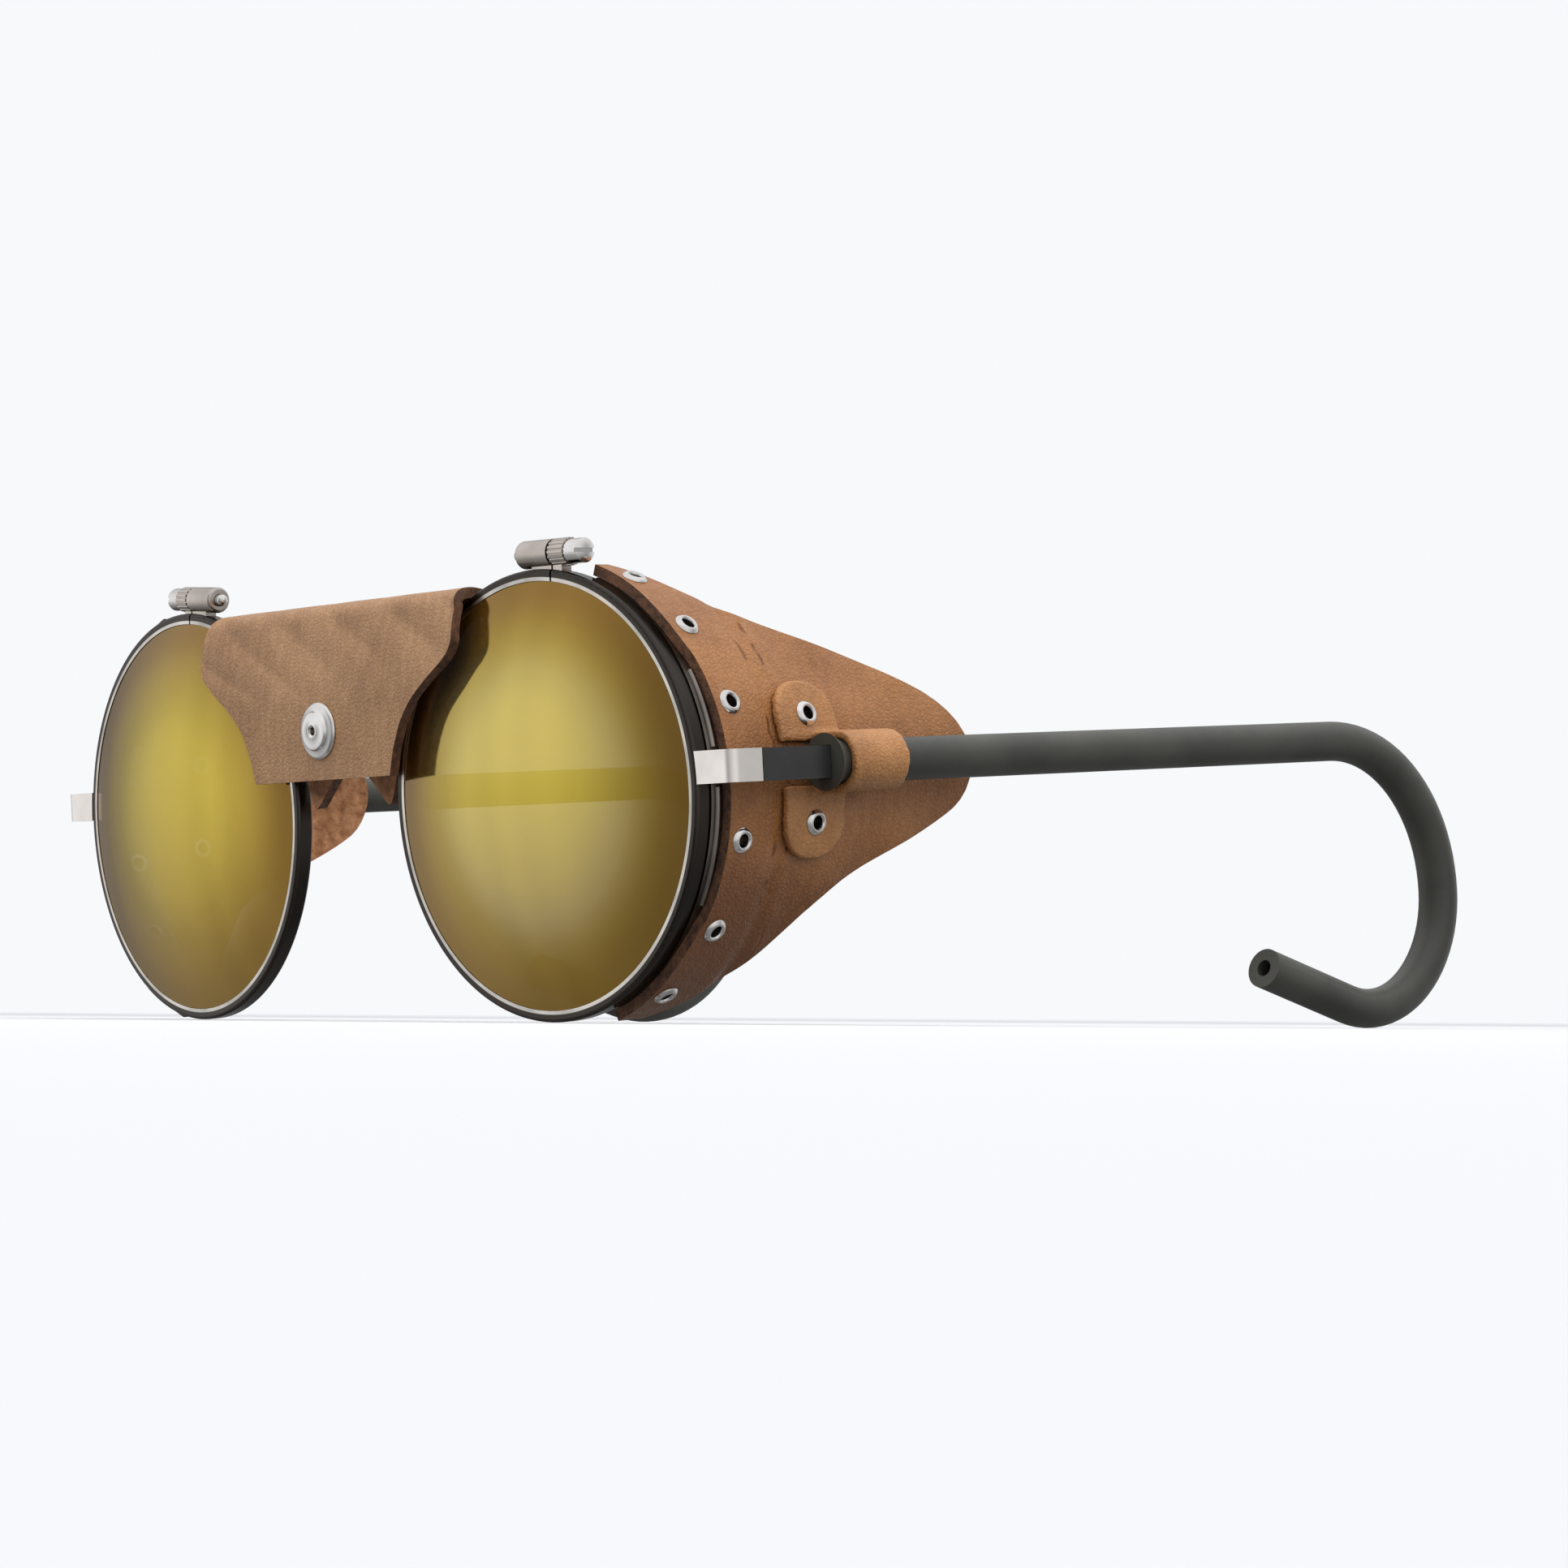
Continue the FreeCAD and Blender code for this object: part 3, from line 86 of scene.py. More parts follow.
class Graph:
    """A thin hand for adding and joining nodes in one tree."""

    def __init__(self, tree: bpy.types.NodeTree) -> None:
        """Start on a tree."""
        self.tree = tree

    def add(self, kind: str, settings: dict | None = None, **inputs: object) -> bpy.types.Node:
        """Add a node.

        Args:
            kind: the node's type name without its prefix.
            settings: properties of the node.
            **inputs: values or sockets by input name, with spaces written as underscores.

        Returns:
            The new node.
        """
        node = self.tree.nodes.new(kind if kind.startswith("NodeGroup") else f"ShaderNode{kind}")
        for name, value in (settings or {}).items():
            setattr(node, name, value)
        for name, value in inputs.items():
            self.feed(node, name.replace("_", " "), value)
        return node

    def feed(self, node: bpy.types.Node, name: str | int, value: object) -> None:
        """Set or link one input of a node."""
        socket = node.inputs[name]
        if isinstance(value, bpy.types.NodeSocket):
            self.tree.links.new(value, socket)
        elif isinstance(value, tuple) and len(value) == 3 and socket.type == "RGBA":
            socket.default_value = (*value, 1.0)
        else:
            socket.default_value = value

    def math(self, operation: str, *values: object) -> bpy.types.NodeSocket:
        """A Math node's output."""
        node = self.add("Math", {"operation": operation})
        for index, value in enumerate(values):
            self.feed(node, index, value)
        return node.outputs[0]

    def spread(self, value: object, low: float, high: float, out_low: float = 0.0,
               out_high: float = 1.0) -> bpy.types.NodeSocket:
        """A clamped Map Range from low..high to out_low..out_high."""
        node = self.add("MapRange", {"interpolation_type": "SMOOTHSTEP"}, Value=value, From_Min=low,
                        From_Max=high, To_Min=out_low, To_Max=out_high)
        return node.outputs["Result"]

    def mix(self, share: object, first: object, second: object) -> bpy.types.NodeSocket:
        """A mix of two colours."""
        node = self.add("Mix", {"data_type": "RGBA"})
        self.feed(node, 0, share)
        self.feed(node, 6, first)
        self.feed(node, 7, second)
        return node.outputs[2]

    def noise(self, where: object, scale: float, detail: float = 4.0,
              rough: float = 0.55) -> bpy.types.NodeSocket:
        """A noise value round one half."""
        node = self.add("TexNoise", Vector=where, Scale=scale, Detail=detail, Roughness=rough)
        return node.outputs["Fac"]


class EffectGroups:
    """The shader groups that several finishes share, each built once."""

    def __init__(self) -> None:
        """Build every group."""
        self.grain = self._grain()
        self.tone = self._tone()
        self.scratches = self._scratches()

    def _start(self, name: str, inputs: dict[str, float],
               outputs: tuple[str, ...]) -> tuple[Graph, bpy.types.Node, bpy.types.Node]:
        """An empty group with a position input, value inputs and value outputs."""
        tree = bpy.data.node_groups.new(name, "ShaderNodeTree")
        tree.interface.new_socket("Position", in_out="INPUT", socket_type="NodeSocketVector")
        for label, value in inputs.items():
            socket = tree.interface.new_socket(label, in_out="INPUT", socket_type="NodeSocketFloat")
            socket.default_value = value
        for label in outputs:
            tree.interface.new_socket(label, in_out="OUTPUT", socket_type="NodeSocketFloat")
        graph = Graph(tree)
        return graph, graph.add("NodeGroupInput"), graph.add("NodeGroupOutput")

    def _grain(self) -> bpy.types.NodeTree:
        """Leather grain: pebbles, fine creases and pores as one height."""
        graph, start, end = self._start("Leather_grain", {"Size": 1.0, "Creases": 0.5}, ("Height",))
        where = graph.add("VectorMath", {"operation": "SCALE"}, Vector=start.outputs["Position"],
                          Scale=start.outputs["Size"]).outputs[0]
        cells = graph.add("TexVoronoi", {"feature": "DISTANCE_TO_EDGE"}, Vector=where, Scale=1500.0,
                          Randomness=1.0).outputs["Distance"]
        pebbles = graph.spread(cells, 0.0, 0.25)
        squeezed = graph.add("Mapping", Vector=where, Scale=(1.0, 1.0, 0.22)).outputs[0]
        creases = graph.spread(graph.noise(squeezed, 900.0, 5.0, 0.6), 0.42, 0.56)
        pores = graph.spread(graph.noise(where, 2600.0, 2.0), 0.3, 0.42)
        height = graph.math("ADD", graph.math("MULTIPLY", pebbles, 0.45),
                            graph.math("MULTIPLY", creases, start.outputs["Creases"]))
        graph.feed(end, "Height", graph.math("ADD", height, graph.math("MULTIPLY", pores, 0.25)))
        return graph.tree

    def _tone(self) -> bpy.types.NodeTree:
        """Slow patches that lighten and darken a surface."""
        graph, start, end = self._start("Handled_tone", {"Scale": 60.0, "Contrast": 1.0}, ("Tone", "Mottle"))
        slow = graph.add("TexNoise", Vector=start.outputs["Position"], Scale=start.outputs["Scale"],
                         Detail=3.0).outputs["Fac"]
        fast = graph.noise(start.outputs["Position"], 520.0, 5.0, 0.65)
        middle = graph.math("SUBTRACT", slow, 0.5)
        swing = graph.math("MULTIPLY", middle, start.outputs["Contrast"])
        graph.feed(end, "Tone", graph.math("ADD", swing, 0.5))
        graph.feed(end, "Mottle", graph.spread(fast, 0.4, 0.62))
        return graph.tree

    def _scratches(self) -> bpy.types.NodeTree:
        """Fine brushed lines and smudges for metal."""
        graph, start, end = self._start("Brushed_metal", {"Density": 1.0}, ("Lines", "Smudge"))
        drawn = graph.add("Mapping", Vector=start.outputs["Position"], Scale=(1.0, 6.0, 6.0)).outputs[0]
        scale = graph.math("MULTIPLY", start.outputs["Density"], 1800.0)
        lines = graph.add("TexNoise", Vector=drawn, Scale=scale, Detail=2.0).outputs["Fac"]
        graph.feed(end, "Lines", lines)
        graph.feed(end, "Smudge", graph.spread(graph.noise(start.outputs["Position"], 240.0), 0.35, 0.7))
        return graph.tree


def place_group(graph: Graph, tree: bpy.types.NodeTree, where: object, **values: float) -> bpy.types.Node:
    """Put a shared effect group in a material.

    Args:
        graph: the material's graph.
        tree: the group.
        where: position socket.
        **values: the group's value inputs.

    Returns:
        The group node.
    """
    node = graph.add("Group", {"node_tree": tree})
    graph.feed(node, "Position", where)
    for name, value in values.items():
        graph.feed(node, name, value)
    return node


# ---- Finishes ---------------------------------------------------------------------------------


def fresh_material(name: str) -> tuple[bpy.types.Material, Graph, bpy.types.Node, bpy.types.NodeSocket]:
    """A new node material.

    Args:
        name: the material's name.

    Returns:
        The material, its graph, its Principled node and the object coordinates.
    """
    material = bpy.data.materials.new(name)
    material.use_nodes = True
    graph = Graph(material.node_tree)
    shader = material.node_tree.nodes["Principled BSDF"]
    where = graph.add("TexCoord").outputs["Object"]
    return material, graph, shader, where


@dataclass(frozen=True)
class Metal:
    """Plated metal, with an optional painted highlight inside a radius and dark metal outside it, partly its own
    dark finish and partly painted shade.
    """

    name: str
    bright: Colour
    dark: Colour
    rough: float = 0.22
    lines: float = 0.05
    painted_highlight_radius: float = 0.0
    centre: Vector = field(default_factory=Vector)

    def make(self, groups: EffectGroups) -> bpy.types.Material:
        """Build the material.

        Args:
            groups: the shared effects.

        Returns:
            The metal material.
        """
        material, graph, shader, where = fresh_material(self.name)
        effect = place_group(graph, groups.scratches, where, Density=1.0)
        tone = place_group(graph, groups.tone, where, Scale=180.0, Contrast=1.2)
        share = graph.spread(tone.outputs["Tone"], 0.2, 0.8, 0.0, 0.5)
        # Painted highlight: inside the radius the colour is the bright metal, standing in for the glint on the
        # rim's rounded inner edge; outside it the dark metal is partly the rim's dark finish and partly painted
        # shade on its face.
        if self.painted_highlight_radius:
            local = graph.add("VectorMath", {"operation": "SUBTRACT"}, Vector=where)
            local.inputs[1].default_value = self.centre
            reach = graph.add("VectorMath", {"operation": "LENGTH"}, Vector=local.outputs[0]).outputs["Value"]
            share = graph.math("MAXIMUM", graph.spread(reach, self.painted_highlight_radius - 0.00005, self.painted_highlight_radius + 0.0001), share)
        graph.feed(shader, "Base Color", graph.mix(share, self.bright, self.dark))
        smudge = graph.math("MULTIPLY", effect.outputs["Smudge"], 0.1)
        graph.feed(shader, "Roughness", graph.math("ADD", smudge, self.rough))
        bump = graph.add("Bump", Strength=self.lines, Distance=0.00005, Height=effect.outputs["Lines"])
        graph.feed(shader, "Normal", bump.outputs[0])
        shader.inputs["Metallic"].default_value = 1.0
        return material


@dataclass(frozen=True)
class Leather:
    """Smooth finished leather with grain, creases, slow colour change and painted shade that darkens it towards
    the bottom.
    """

    name: str
    colour: Colour
    deep: Colour
    creases: float = 0.5
    grain: float = 1.0
    bump: float = 0.35
    crease_lines: tuple[float, ...] = ()

    def make(self, groups: EffectGroups) -> bpy.types.Material:
        """Build the material.

        Args:
            groups: the shared effects.

        Returns:
            The leather material.
        """
        material, graph, shader, where = fresh_material(self.name)
        effect = place_group(graph, groups.grain, where, Size=self.grain, Creases=self.creases)
        tone = place_group(graph, groups.tone, where, Scale=70.0, Contrast=1.6)
        slow = graph.spread(tone.outputs["Tone"], 0.15, 0.85)
        low = graph.math("SUBTRACT", 1.0, graph.math("MINIMUM", effect.outputs["Height"], 1.0))
        share = graph.math("ADD", graph.math("MULTIPLY", slow, 0.55), graph.math("MULTIPLY", low, 0.35))
        height = effect.outputs["Height"]
        if self.crease_lines:
            fold = self._folds(graph, where)
            share = graph.math("MINIMUM", graph.math("ADD", share, graph.math("MULTIPLY", fold, 0.8)), 1.0)
            height = graph.math("SUBTRACT", height, graph.math("MULTIPLY", fold, 2.2))
        # Painted shade: towards the bottom the colour turns to the deep tone, fully below 4 mm of object height
        # and fading out by 24 mm, standing in for the shade low on the leather.
        height_up = graph.add("SeparateXYZ", Vector=where).outputs["Z"]
        painted_low_shade = graph.spread(height_up, 0.004, 0.024, 1.0, 0.0)
        share = graph.math("MINIMUM", graph.math("ADD", share, painted_low_shade), 1.0)
        graph.feed(shader, "Base Color", graph.mix(share, self.colour, self.deep))
        worn = graph.math("MULTIPLY", tone.outputs["Mottle"], 0.12)
        graph.feed(shader, "Roughness", graph.math("ADD", worn, 0.33))
        bump = graph.add("Bump", Strength=self.bump, Distance=0.0003, Height=height)
        graph.feed(shader, "Normal", bump.outputs[0])
        shader.inputs["Specular IOR Level"].default_value = 0.42
        return material

    def _folds(self, graph: Graph, where: bpy.types.NodeSocket) -> bpy.types.NodeSocket:
        """Broken crease lines that follow the surface map.

        Args:
            graph: the material's graph.
            where: object coordinates, for the wobble.

        Returns:
            A mask, 1 in a crease.
        """
        along = graph.add("SeparateXYZ", Vector=graph.add("UVMap", {"uv_map": "UVMap"}).outputs[0]).outputs["X"]
        wobble = graph.math("MULTIPLY", graph.math("SUBTRACT", graph.noise(where, 260.0), 0.5), 2.4)
        total: bpy.types.NodeSocket | float = 0.0
        for line in self.crease_lines:
            away = graph.math("ABSOLUTE", graph.math("SUBTRACT", graph.math("ADD", along, wobble), line))
            total = graph.math("MAXIMUM", total, graph.spread(away, 0.05, 0.4, 1.0, 0.0))
        broken = graph.spread(graph.noise(where, 210.0, 2.0), 0.5, 0.58)
        return graph.math("MULTIPLY", total, broken)


@dataclass(frozen=True)
class Suede:
    """Mottled flesh side of leather, or its dark raw edge."""

    name: str
    light: Colour
    dark: Colour
    scale: float = 900.0
    bump: float = 0.8

    def make(self, groups: EffectGroups) -> bpy.types.Material:
        """Build the material.

        Args:
            groups: the shared effects.

        Returns:
            The suede material.
        """
        material, graph, shader, where = fresh_material(self.name)
        tone = place_group(graph, groups.tone, where, Scale=self.scale, Contrast=2.6)
        fibres = graph.noise(where, self.scale * 2.5, 6.0, 0.7)
        share = graph.math("ADD", graph.math("MULTIPLY", tone.outputs["Tone"], 0.6),
                           graph.math("MULTIPLY", tone.outputs["Mottle"], 0.4))
        graph.feed(shader, "Base Color", graph.mix(share, self.dark, self.light))
        bump = graph.add("Bump", Strength=self.bump, Distance=0.0002, Height=fibres)
        graph.feed(shader, "Normal", bump.outputs[0])
        graph.feed(shader, "Roughness", graph.spread(fibres, 0.2, 0.8, 0.8, 0.98))
        shader.inputs["Sheen Weight"].default_value = 0.15
        shader.inputs["Specular IOR Level"].default_value = 0.2
        return material


@dataclass(frozen=True)
class Rubber:
    """Matte black rubber with a faint bloom and fine drawn texture."""

    name: str
    colour: Colour
    bloom: Colour
    rough: float = 0.5

    def make(self, groups: EffectGroups) -> bpy.types.Material:
        """Build the material.

        Args:
            groups: the shared effects.

        Returns:
            The rubber material.
        """
        material, graph, shader, where = fresh_material(self.name)
        tone = place_group(graph, groups.tone, where, Scale=90.0, Contrast=1.5)
        graph.feed(shader, "Base Color", graph.mix(
            graph.spread(tone.outputs["Tone"], 0.2, 0.8), self.colour, self.bloom))
        skin = graph.noise(where, 3000.0, 3.0)
        uneven = graph.math("MULTIPLY", skin, 0.16)
        graph.feed(shader, "Roughness", graph.math("ADD", uneven, self.rough - 0.08))
        bump = graph.add("Bump", Strength=0.12, Distance=0.00006, Height=skin)
        graph.feed(shader, "Normal", bump.outputs[0])
        return material


@dataclass(frozen=True)
class MirrorGlass:
    """Gold mirror coating that lets a little light through, with an edge tint that is partly the coating's colour
    and partly painted shade, and a painted dark reflection towards the bottom.
    """

    name: str
    middle: Colour
    # edge is partly the coating's colour and partly painted shade; low is a painted dark reflection at the
    # bottom.
    edge: Colour
    low: Colour
    see_through: float
    centre: Vector = field(default_factory=Vector)
    radius: float = 0.025

    def make(self, groups: EffectGroups) -> bpy.types.Material:
        """Build the material.

        Args:
            groups: the shared effects.

        Returns:
            The lens material.
        """
        material, graph, shader, where = fresh_material(self.name)
        local = graph.add("VectorMath", {"operation": "SUBTRACT"}, Vector=where)
        local.inputs[1].default_value = self.centre
        parts = graph.add("SeparateXYZ", Vector=local.outputs[0])
        reach = graph.add("VectorMath", {"operation": "LENGTH"}, Vector=local.outputs[0]).outputs["Value"]
        # Towards the edge the colour turns to the edge tint, partly the coating's own colour and partly painted
        # shade; the same mask makes the edge less see-through.
        edge_tint_and_shade_mask = graph.spread(reach, self.radius * 0.4, self.radius * 0.98)
        # Painted reflection: towards the bottom the colour turns to the low tint, standing in for the darker
        # surroundings mirrored in the lower lens.
        painted_low_reflection = graph.spread(parts.outputs["Z"], -self.radius * 0.95, self.radius * 0.3, 1.0, 0.0)
        colour = graph.mix(edge_tint_and_shade_mask, self.middle, self.edge)
        graph.feed(shader, "Base Color", graph.mix(graph.math("MULTIPLY", painted_low_reflection, 0.6), colour, self.low))
        haze = place_group(graph, groups.tone, where, Scale=70.0, Contrast=1.0)
        graph.feed(shader, "Roughness", graph.spread(haze.outputs["Tone"], 0.2, 0.8, 0.07, 0.12))
        shader.inputs["Metallic"].default_value = 0.85
        seen = graph.spread(edge_tint_and_shade_mask, 0.15, 0.9, 1.0 - self.see_through, 0.94)
        graph.feed(shader, "Alpha", seen)
        shader.inputs["Coat Weight"].default_value = 0.3
        return material


# ---- Shape helpers ----------------------------------------------------------------------------


def smooth_line(points: list[Point], rounds: int) -> list[Point]:
    """Cut the corners of a line again and again until it is smooth.

    Args:
        points: the line's corners; the ends stay.
        rounds: how often each corner is cut.

    Returns:
        The smoother line.
    """
    for _ in range(rounds):
        cut: list[Point] = [points[0]]
        for (ax, ay), (bx, by) in zip(points, points[1:]):
            cut += [(ax * 0.75 + bx * 0.25, ay * 0.75 + by * 0.25),
                    (ax * 0.25 + bx * 0.75, ay * 0.25 + by * 0.75)]
        points = [*cut, points[-1]]
    return points


def read_line(points: list[Point], key: float) -> float:
    """The second value of a line at a first value that only rises."""
    if key <= points[0][0]:
        return points[0][1]
    for (ax, ay), (bx, by) in zip(points, points[1:]):
        if key <= bx:
            return ay + (by - ay) * (key - ax) / max(bx - ax, 1e-9)
    return points[-1][1]


class Bench:
    """Operator work on one piece at a time."""

    @staticmethod
    def clear() -> None:
        """Leave edit mode and select nothing."""
        if bpy.context.object and bpy.context.object.mode != "OBJECT":
            bpy.ops.object.mode_set(mode="OBJECT")
        bpy.ops.object.select_all(action="DESELECT")

    @classmethod
    def pick(cls, piece: bpy.types.Object) -> None:
        """Select one piece and make it active."""
        cls.clear()
        piece.select_set(True)
        bpy.context.view_layer.objects.active = piece

    @classmethod
    def panel(cls, name: str, across: int, along: int,
              shape: Callable[[float, float], tuple[Vector, Point]]) -> bpy.types.Object:
        """A sheet made from a grid, laid out by a shape and mapped in millimetres.

        Args:
            name: the piece's name.
            across: divisions across.
            along: divisions along.
            shape: gives the place and the surface map for two shares from 0 to 1.

        Returns:
            The sheet.
        """
        cls.clear()
        bpy.ops.mesh.primitive_grid_add(x_subdivisions=across, y_subdivisions=along, size=1.0)
        piece = bpy.context.object
        piece.name = name
        piece.data.name = name
        spots = {vertex.index: (vertex.co.x + 0.5, vertex.co.y + 0.5) for vertex in piece.data.vertices}
        layer = piece.data.uv_layers.active
        layer.name = "UVMap"
        for loop in piece.data.loops:
            layer.data[loop.index].uv = shape(*spots[loop.vertex_index])[1]
        for vertex in piece.data.vertices:
            vertex.co = shape(*spots[vertex.index])[0]
        return piece

    @classmethod
    def apply(cls, piece: bpy.types.Object, kind: str, **settings: object) -> None:
        """Add a modifier and apply it."""
        cls.pick(piece)
        modifier = piece.modifiers.new(kind.title(), kind)
        for name, value in settings.items():
            setattr(modifier, name, value)
        bpy.ops.object.modifier_apply(modifier=modifier.name)

    @classmethod
    def edit(cls, piece: bpy.types.Object, *actions: Callable[[], object]) -> None:
        """Run edit-mode operators on the whole mesh of a piece."""
        cls.pick(piece)
        bpy.ops.object.mode_set(mode="EDIT")
        bpy.ops.mesh.select_all(action="SELECT")
        for action in actions:
            action()
        bpy.ops.object.mode_set(mode="OBJECT")

    @classmethod
    def soften(cls, piece: bpy.types.Object, angle: float = 35.0) -> None:
        """Shade smooth across shallow edges."""
        cls.pick(piece)
        bpy.ops.object.shade_smooth_by_angle(angle=math.radians(angle))

    @classmethod
    def turned(cls, outline: list[Vector], axis: Point3, steps: int) -> bpy.types.Object:
        """A closed section spun round an axis.

        Args:
            outline: the section's corners, in order.
            axis: the axis through the origin.
            steps: divisions round the axis.

        Returns:
            The turned piece.
        """
        cls.clear()
        bpy.ops.mesh.primitive_circle_add(vertices=len(outline), radius=1.0, fill_type="NOTHING")
        piece = bpy.context.object
        for vertex, corner in zip(piece.data.vertices, outline):
            vertex.co = corner
        cls.edit(piece,
                 lambda: bpy.ops.mesh.spin(steps=steps, angle=math.tau, center=(0.0, 0.0, 0.0), axis=axis),
                 lambda: bpy.ops.mesh.select_all(action="SELECT"),
                 lambda: bpy.ops.mesh.remove_doubles(threshold=0.0005),
                 lambda: bpy.ops.mesh.normals_make_consistent(inside=False))
        return piece

    @classmethod
    def join(cls, pieces: list[bpy.types.Object]) -> bpy.types.Object:
        """Join pieces into the first one."""
        cls.clear()
        for piece in pieces:
            piece.select_set(True)
        bpy.context.view_layer.objects.active = pieces[0]
        bpy.ops.object.join()
        return pieces[0]

    @classmethod
    def copy_node(cls, node: str, name: str) -> bpy.types.Object:
        """A merged copy of a CAD node's mesh."""
        source = frame["nodes"][node]
        cls.clear()
        piece = bpy.data.objects.new(name, source.data.copy())
        piece.data.materials.clear()
        bpy.context.scene.collection.objects.link(piece)
        cls.edit(piece, lambda: bpy.ops.mesh.remove_doubles(threshold=1e-6))
        return piece


# ---- The object's own frames ------------------------------------------------------------------


@dataclass(frozen=True)
class Layout:
    """Sizes shared with the model, in millimetres and degrees, and the frames they give."""

    lens_spacing: float = 73.08
    wrap: float = 3.13
    rim_radius: float = 26.25
    hinge: Point3 = (66.6008, 5.0033, 28.4)

    def stand(self) -> Matrix:
        """From the upright design frame to the standing glasses, in metres."""
        joint = next(one for one in frame["joints"] if one["name"] == "temple_left_fold")
        lean = math.atan2(-joint["axis"][1], joint["axis"][2])
        turn = Matrix.Rotation(lean, 4, "X")
        shift = Vector(joint["pos_m"]) - turn @ (Vector(self.hinge) * MM)
        return Matrix.Translation(shift) @ turn @ Matrix.Scale(MM, 4)

    def lens(self) -> Matrix:
        """From the left lens's own frame, x outward and y back, to the standing glasses."""
        centre = Matrix.Translation(Vector((self.lens_spacing / 2, 0.0, self.rim_radius)))
        return self.stand() @ centre @ Matrix.Rotation(math.radians(self.wrap), 4, "Z")

    def on_shield(self, angle: float, depth: float, radius: float) -> Matrix:
        """A place on the left shield, z outward, from its angle, depth and radius."""
        turn = Matrix.Rotation(math.radians(90.0 - angle), 4, "Y")
        return (self.lens() @ Matrix.Translation(Vector((0.0, depth, 0.0))) @ turn
                @ Matrix.Translation(Vector((0.0, 0.0, radius))))


def to_side(piece: bpy.types.Object, side: Side) -> None:
    """Mirror a piece that was made for the left."""
    if side is Side.LEFT:
        return
    piece.data.transform(Matrix.Scale(-1.0, 4, X_AXIS))
    Bench.edit(piece, bpy.ops.mesh.flip_normals)


def ride_and_flatten(piece: bpy.types.Object, side: Side) -> None:
    """Let a piece on the sleeve ride its temple."""
    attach(piece, f"temple_{side.word}")
    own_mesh(piece)


# ---- Side shields -----------------------------------------------------------------------------


@dataclass
class SideShield:
    """Curved leather wall that wraps the temple side of a rim."""

    side: Side
    layout: Layout
    radius: float = 27.6
    thickness: float = 1.3
    half_height: float = 26.2
    hole_radius: float = 1.0
    rim_eyelets: tuple[Point, ...] = (
        (62.0, 3.4), (42.0, 4.1), (20.0, 5.0), (-13.0, 4.9), (-36.0, 4.3), (-58.0, 3.4))
    strap_eyelets: tuple[Point, ...] = ((15.87, 15.4), (-9.26, 15.36))
    back_edge: tuple[Point, ...] = (
        (-26.2, 5.0), (-24.6, 8.2), (-18.5, 14.6), (-12.9, 19.6), (-9.4, 26.5), (-5.6, 36.4), (-2.6, 41.4),
        (2.9, 43.4), (8.6, 40.0), (12.6, 31.5), (16.6, 20.8), (20.2, 11.4), (22.6, 7.6), (24.6, 5.4), (26.2, 3.3))
    front_edge: tuple[Point, ...] = (
        (-26.2, 1.3), (-18.0, 1.3), (-13.0, 2.8), (13.0, 2.8), (18.0, 1.3), (26.2, 1.3))

    def make(self, finishes: dict[str, bpy.types.Material]) -> bpy.types.Object:
        """Build, drill and dress the shield.

        Args:
            finishes: materials by name.

        Returns:
            The finished shield.
        """
        back = smooth_line(list(self.back_edge), 2)
        front = smooth_line(list(self.front_edge), 2)
        place = self.layout.lens()

        def shape(across: float, along: float) -> tuple[Vector, Point]:
            height = -self.half_height + 2.0 * self.half_height * across
            first, last = read_line(front, height), read_line(back, height)
            depth = first + (last - first) * along
            radius = self.radius - self._ripple(depth, height)
            out = math.sqrt(radius * radius - height * height)
            return place @ Vector((out, depth, height)), (depth, height)

        piece = Bench.panel(f"side_shield_leather_{self.side.word}", 150, 110, shape)
        if self._faces_in(piece):
            Bench.edit(piece, bpy.ops.mesh.flip_normals)
        for name in ("shield_leather", "flesh_side", "raw_edge"):
            piece.data.materials.append(finishes[name])
        Bench.apply(piece, "SOLIDIFY", thickness=self.thickness * MM, offset=-1.0, material_offset=1,
                    material_offset_rim=2)
        self._drill(piece)
        Bench.soften(piece, 40.0)
        to_side(piece, self.side)
        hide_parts(f"side_shield_{self.side.word}")
        self._bend(piece)
        return piece

    def _ripple(self, depth: float, height: float) -> float:
        """Inward waves of the worn wall behind the metal band, in millimetres."""
        behind = min(max((depth - 9.0) / 6.0, 0.0), 1.0)
        calm = min(abs(height - 2.2) / 14.0, 1.0)
        wave = 0.5 + 0.5 * math.sin(depth * 0.42 + height * 0.27) * math.cos(height * 0.33 - depth * 0.11)
        fold = math.exp(-((depth - 10.8) / 1.1) ** 2) * 0.35 * calm
        return behind * calm * wave * 0.45 + fold

    def _faces_in(self, piece: bpy.types.Object) -> bool:
        """Whether the sheet's faces look towards the lens axis."""
        face = piece.data.polygons[len(piece.data.polygons) // 2]
        axis = self.layout.lens() @ Vector((0.0, 10.0, 0.0))
        return face.normal.dot(face.center - axis) < 0

    def _drill(self, piece: bpy.types.Object) -> None:
        """Cut the eight eyelet holes through the leather."""
        tools = []
        for angle, depth in (*self.rim_eyelets, *self.strap_eyelets):
            Bench.clear()
            bpy.ops.mesh.primitive_cylinder_add(vertices=20, radius=self.hole_radius, depth=8.0)
            tool = bpy.context.object
            tool.data.transform(self.layout.on_shield(angle, depth, self.radius))
            tool.data.materials.append(piece.data.materials[2])
            tools.append(tool)
        drill = Bench.join(tools)
        Bench.apply(piece, "BOOLEAN", object=drill, operation="DIFFERENCE", solver="EXACT")
        bpy.data.objects.remove(drill)

    def _bend(self, piece: bpy.types.Object) -> None:
        """Bake the wall's placement into its mesh."""
        mirror = Matrix.Scale(self.side.value, 4, X_AXIS)
        start = mirror @ self.layout.stand() @ Vector((59.0, 7.5, 28.4))
        end = mirror @ self.layout.stand() @ Vector((66.0, 15.0, 28.4))
        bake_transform(piece)


# ---- Nose flap --------------------------------------------------------------------------------


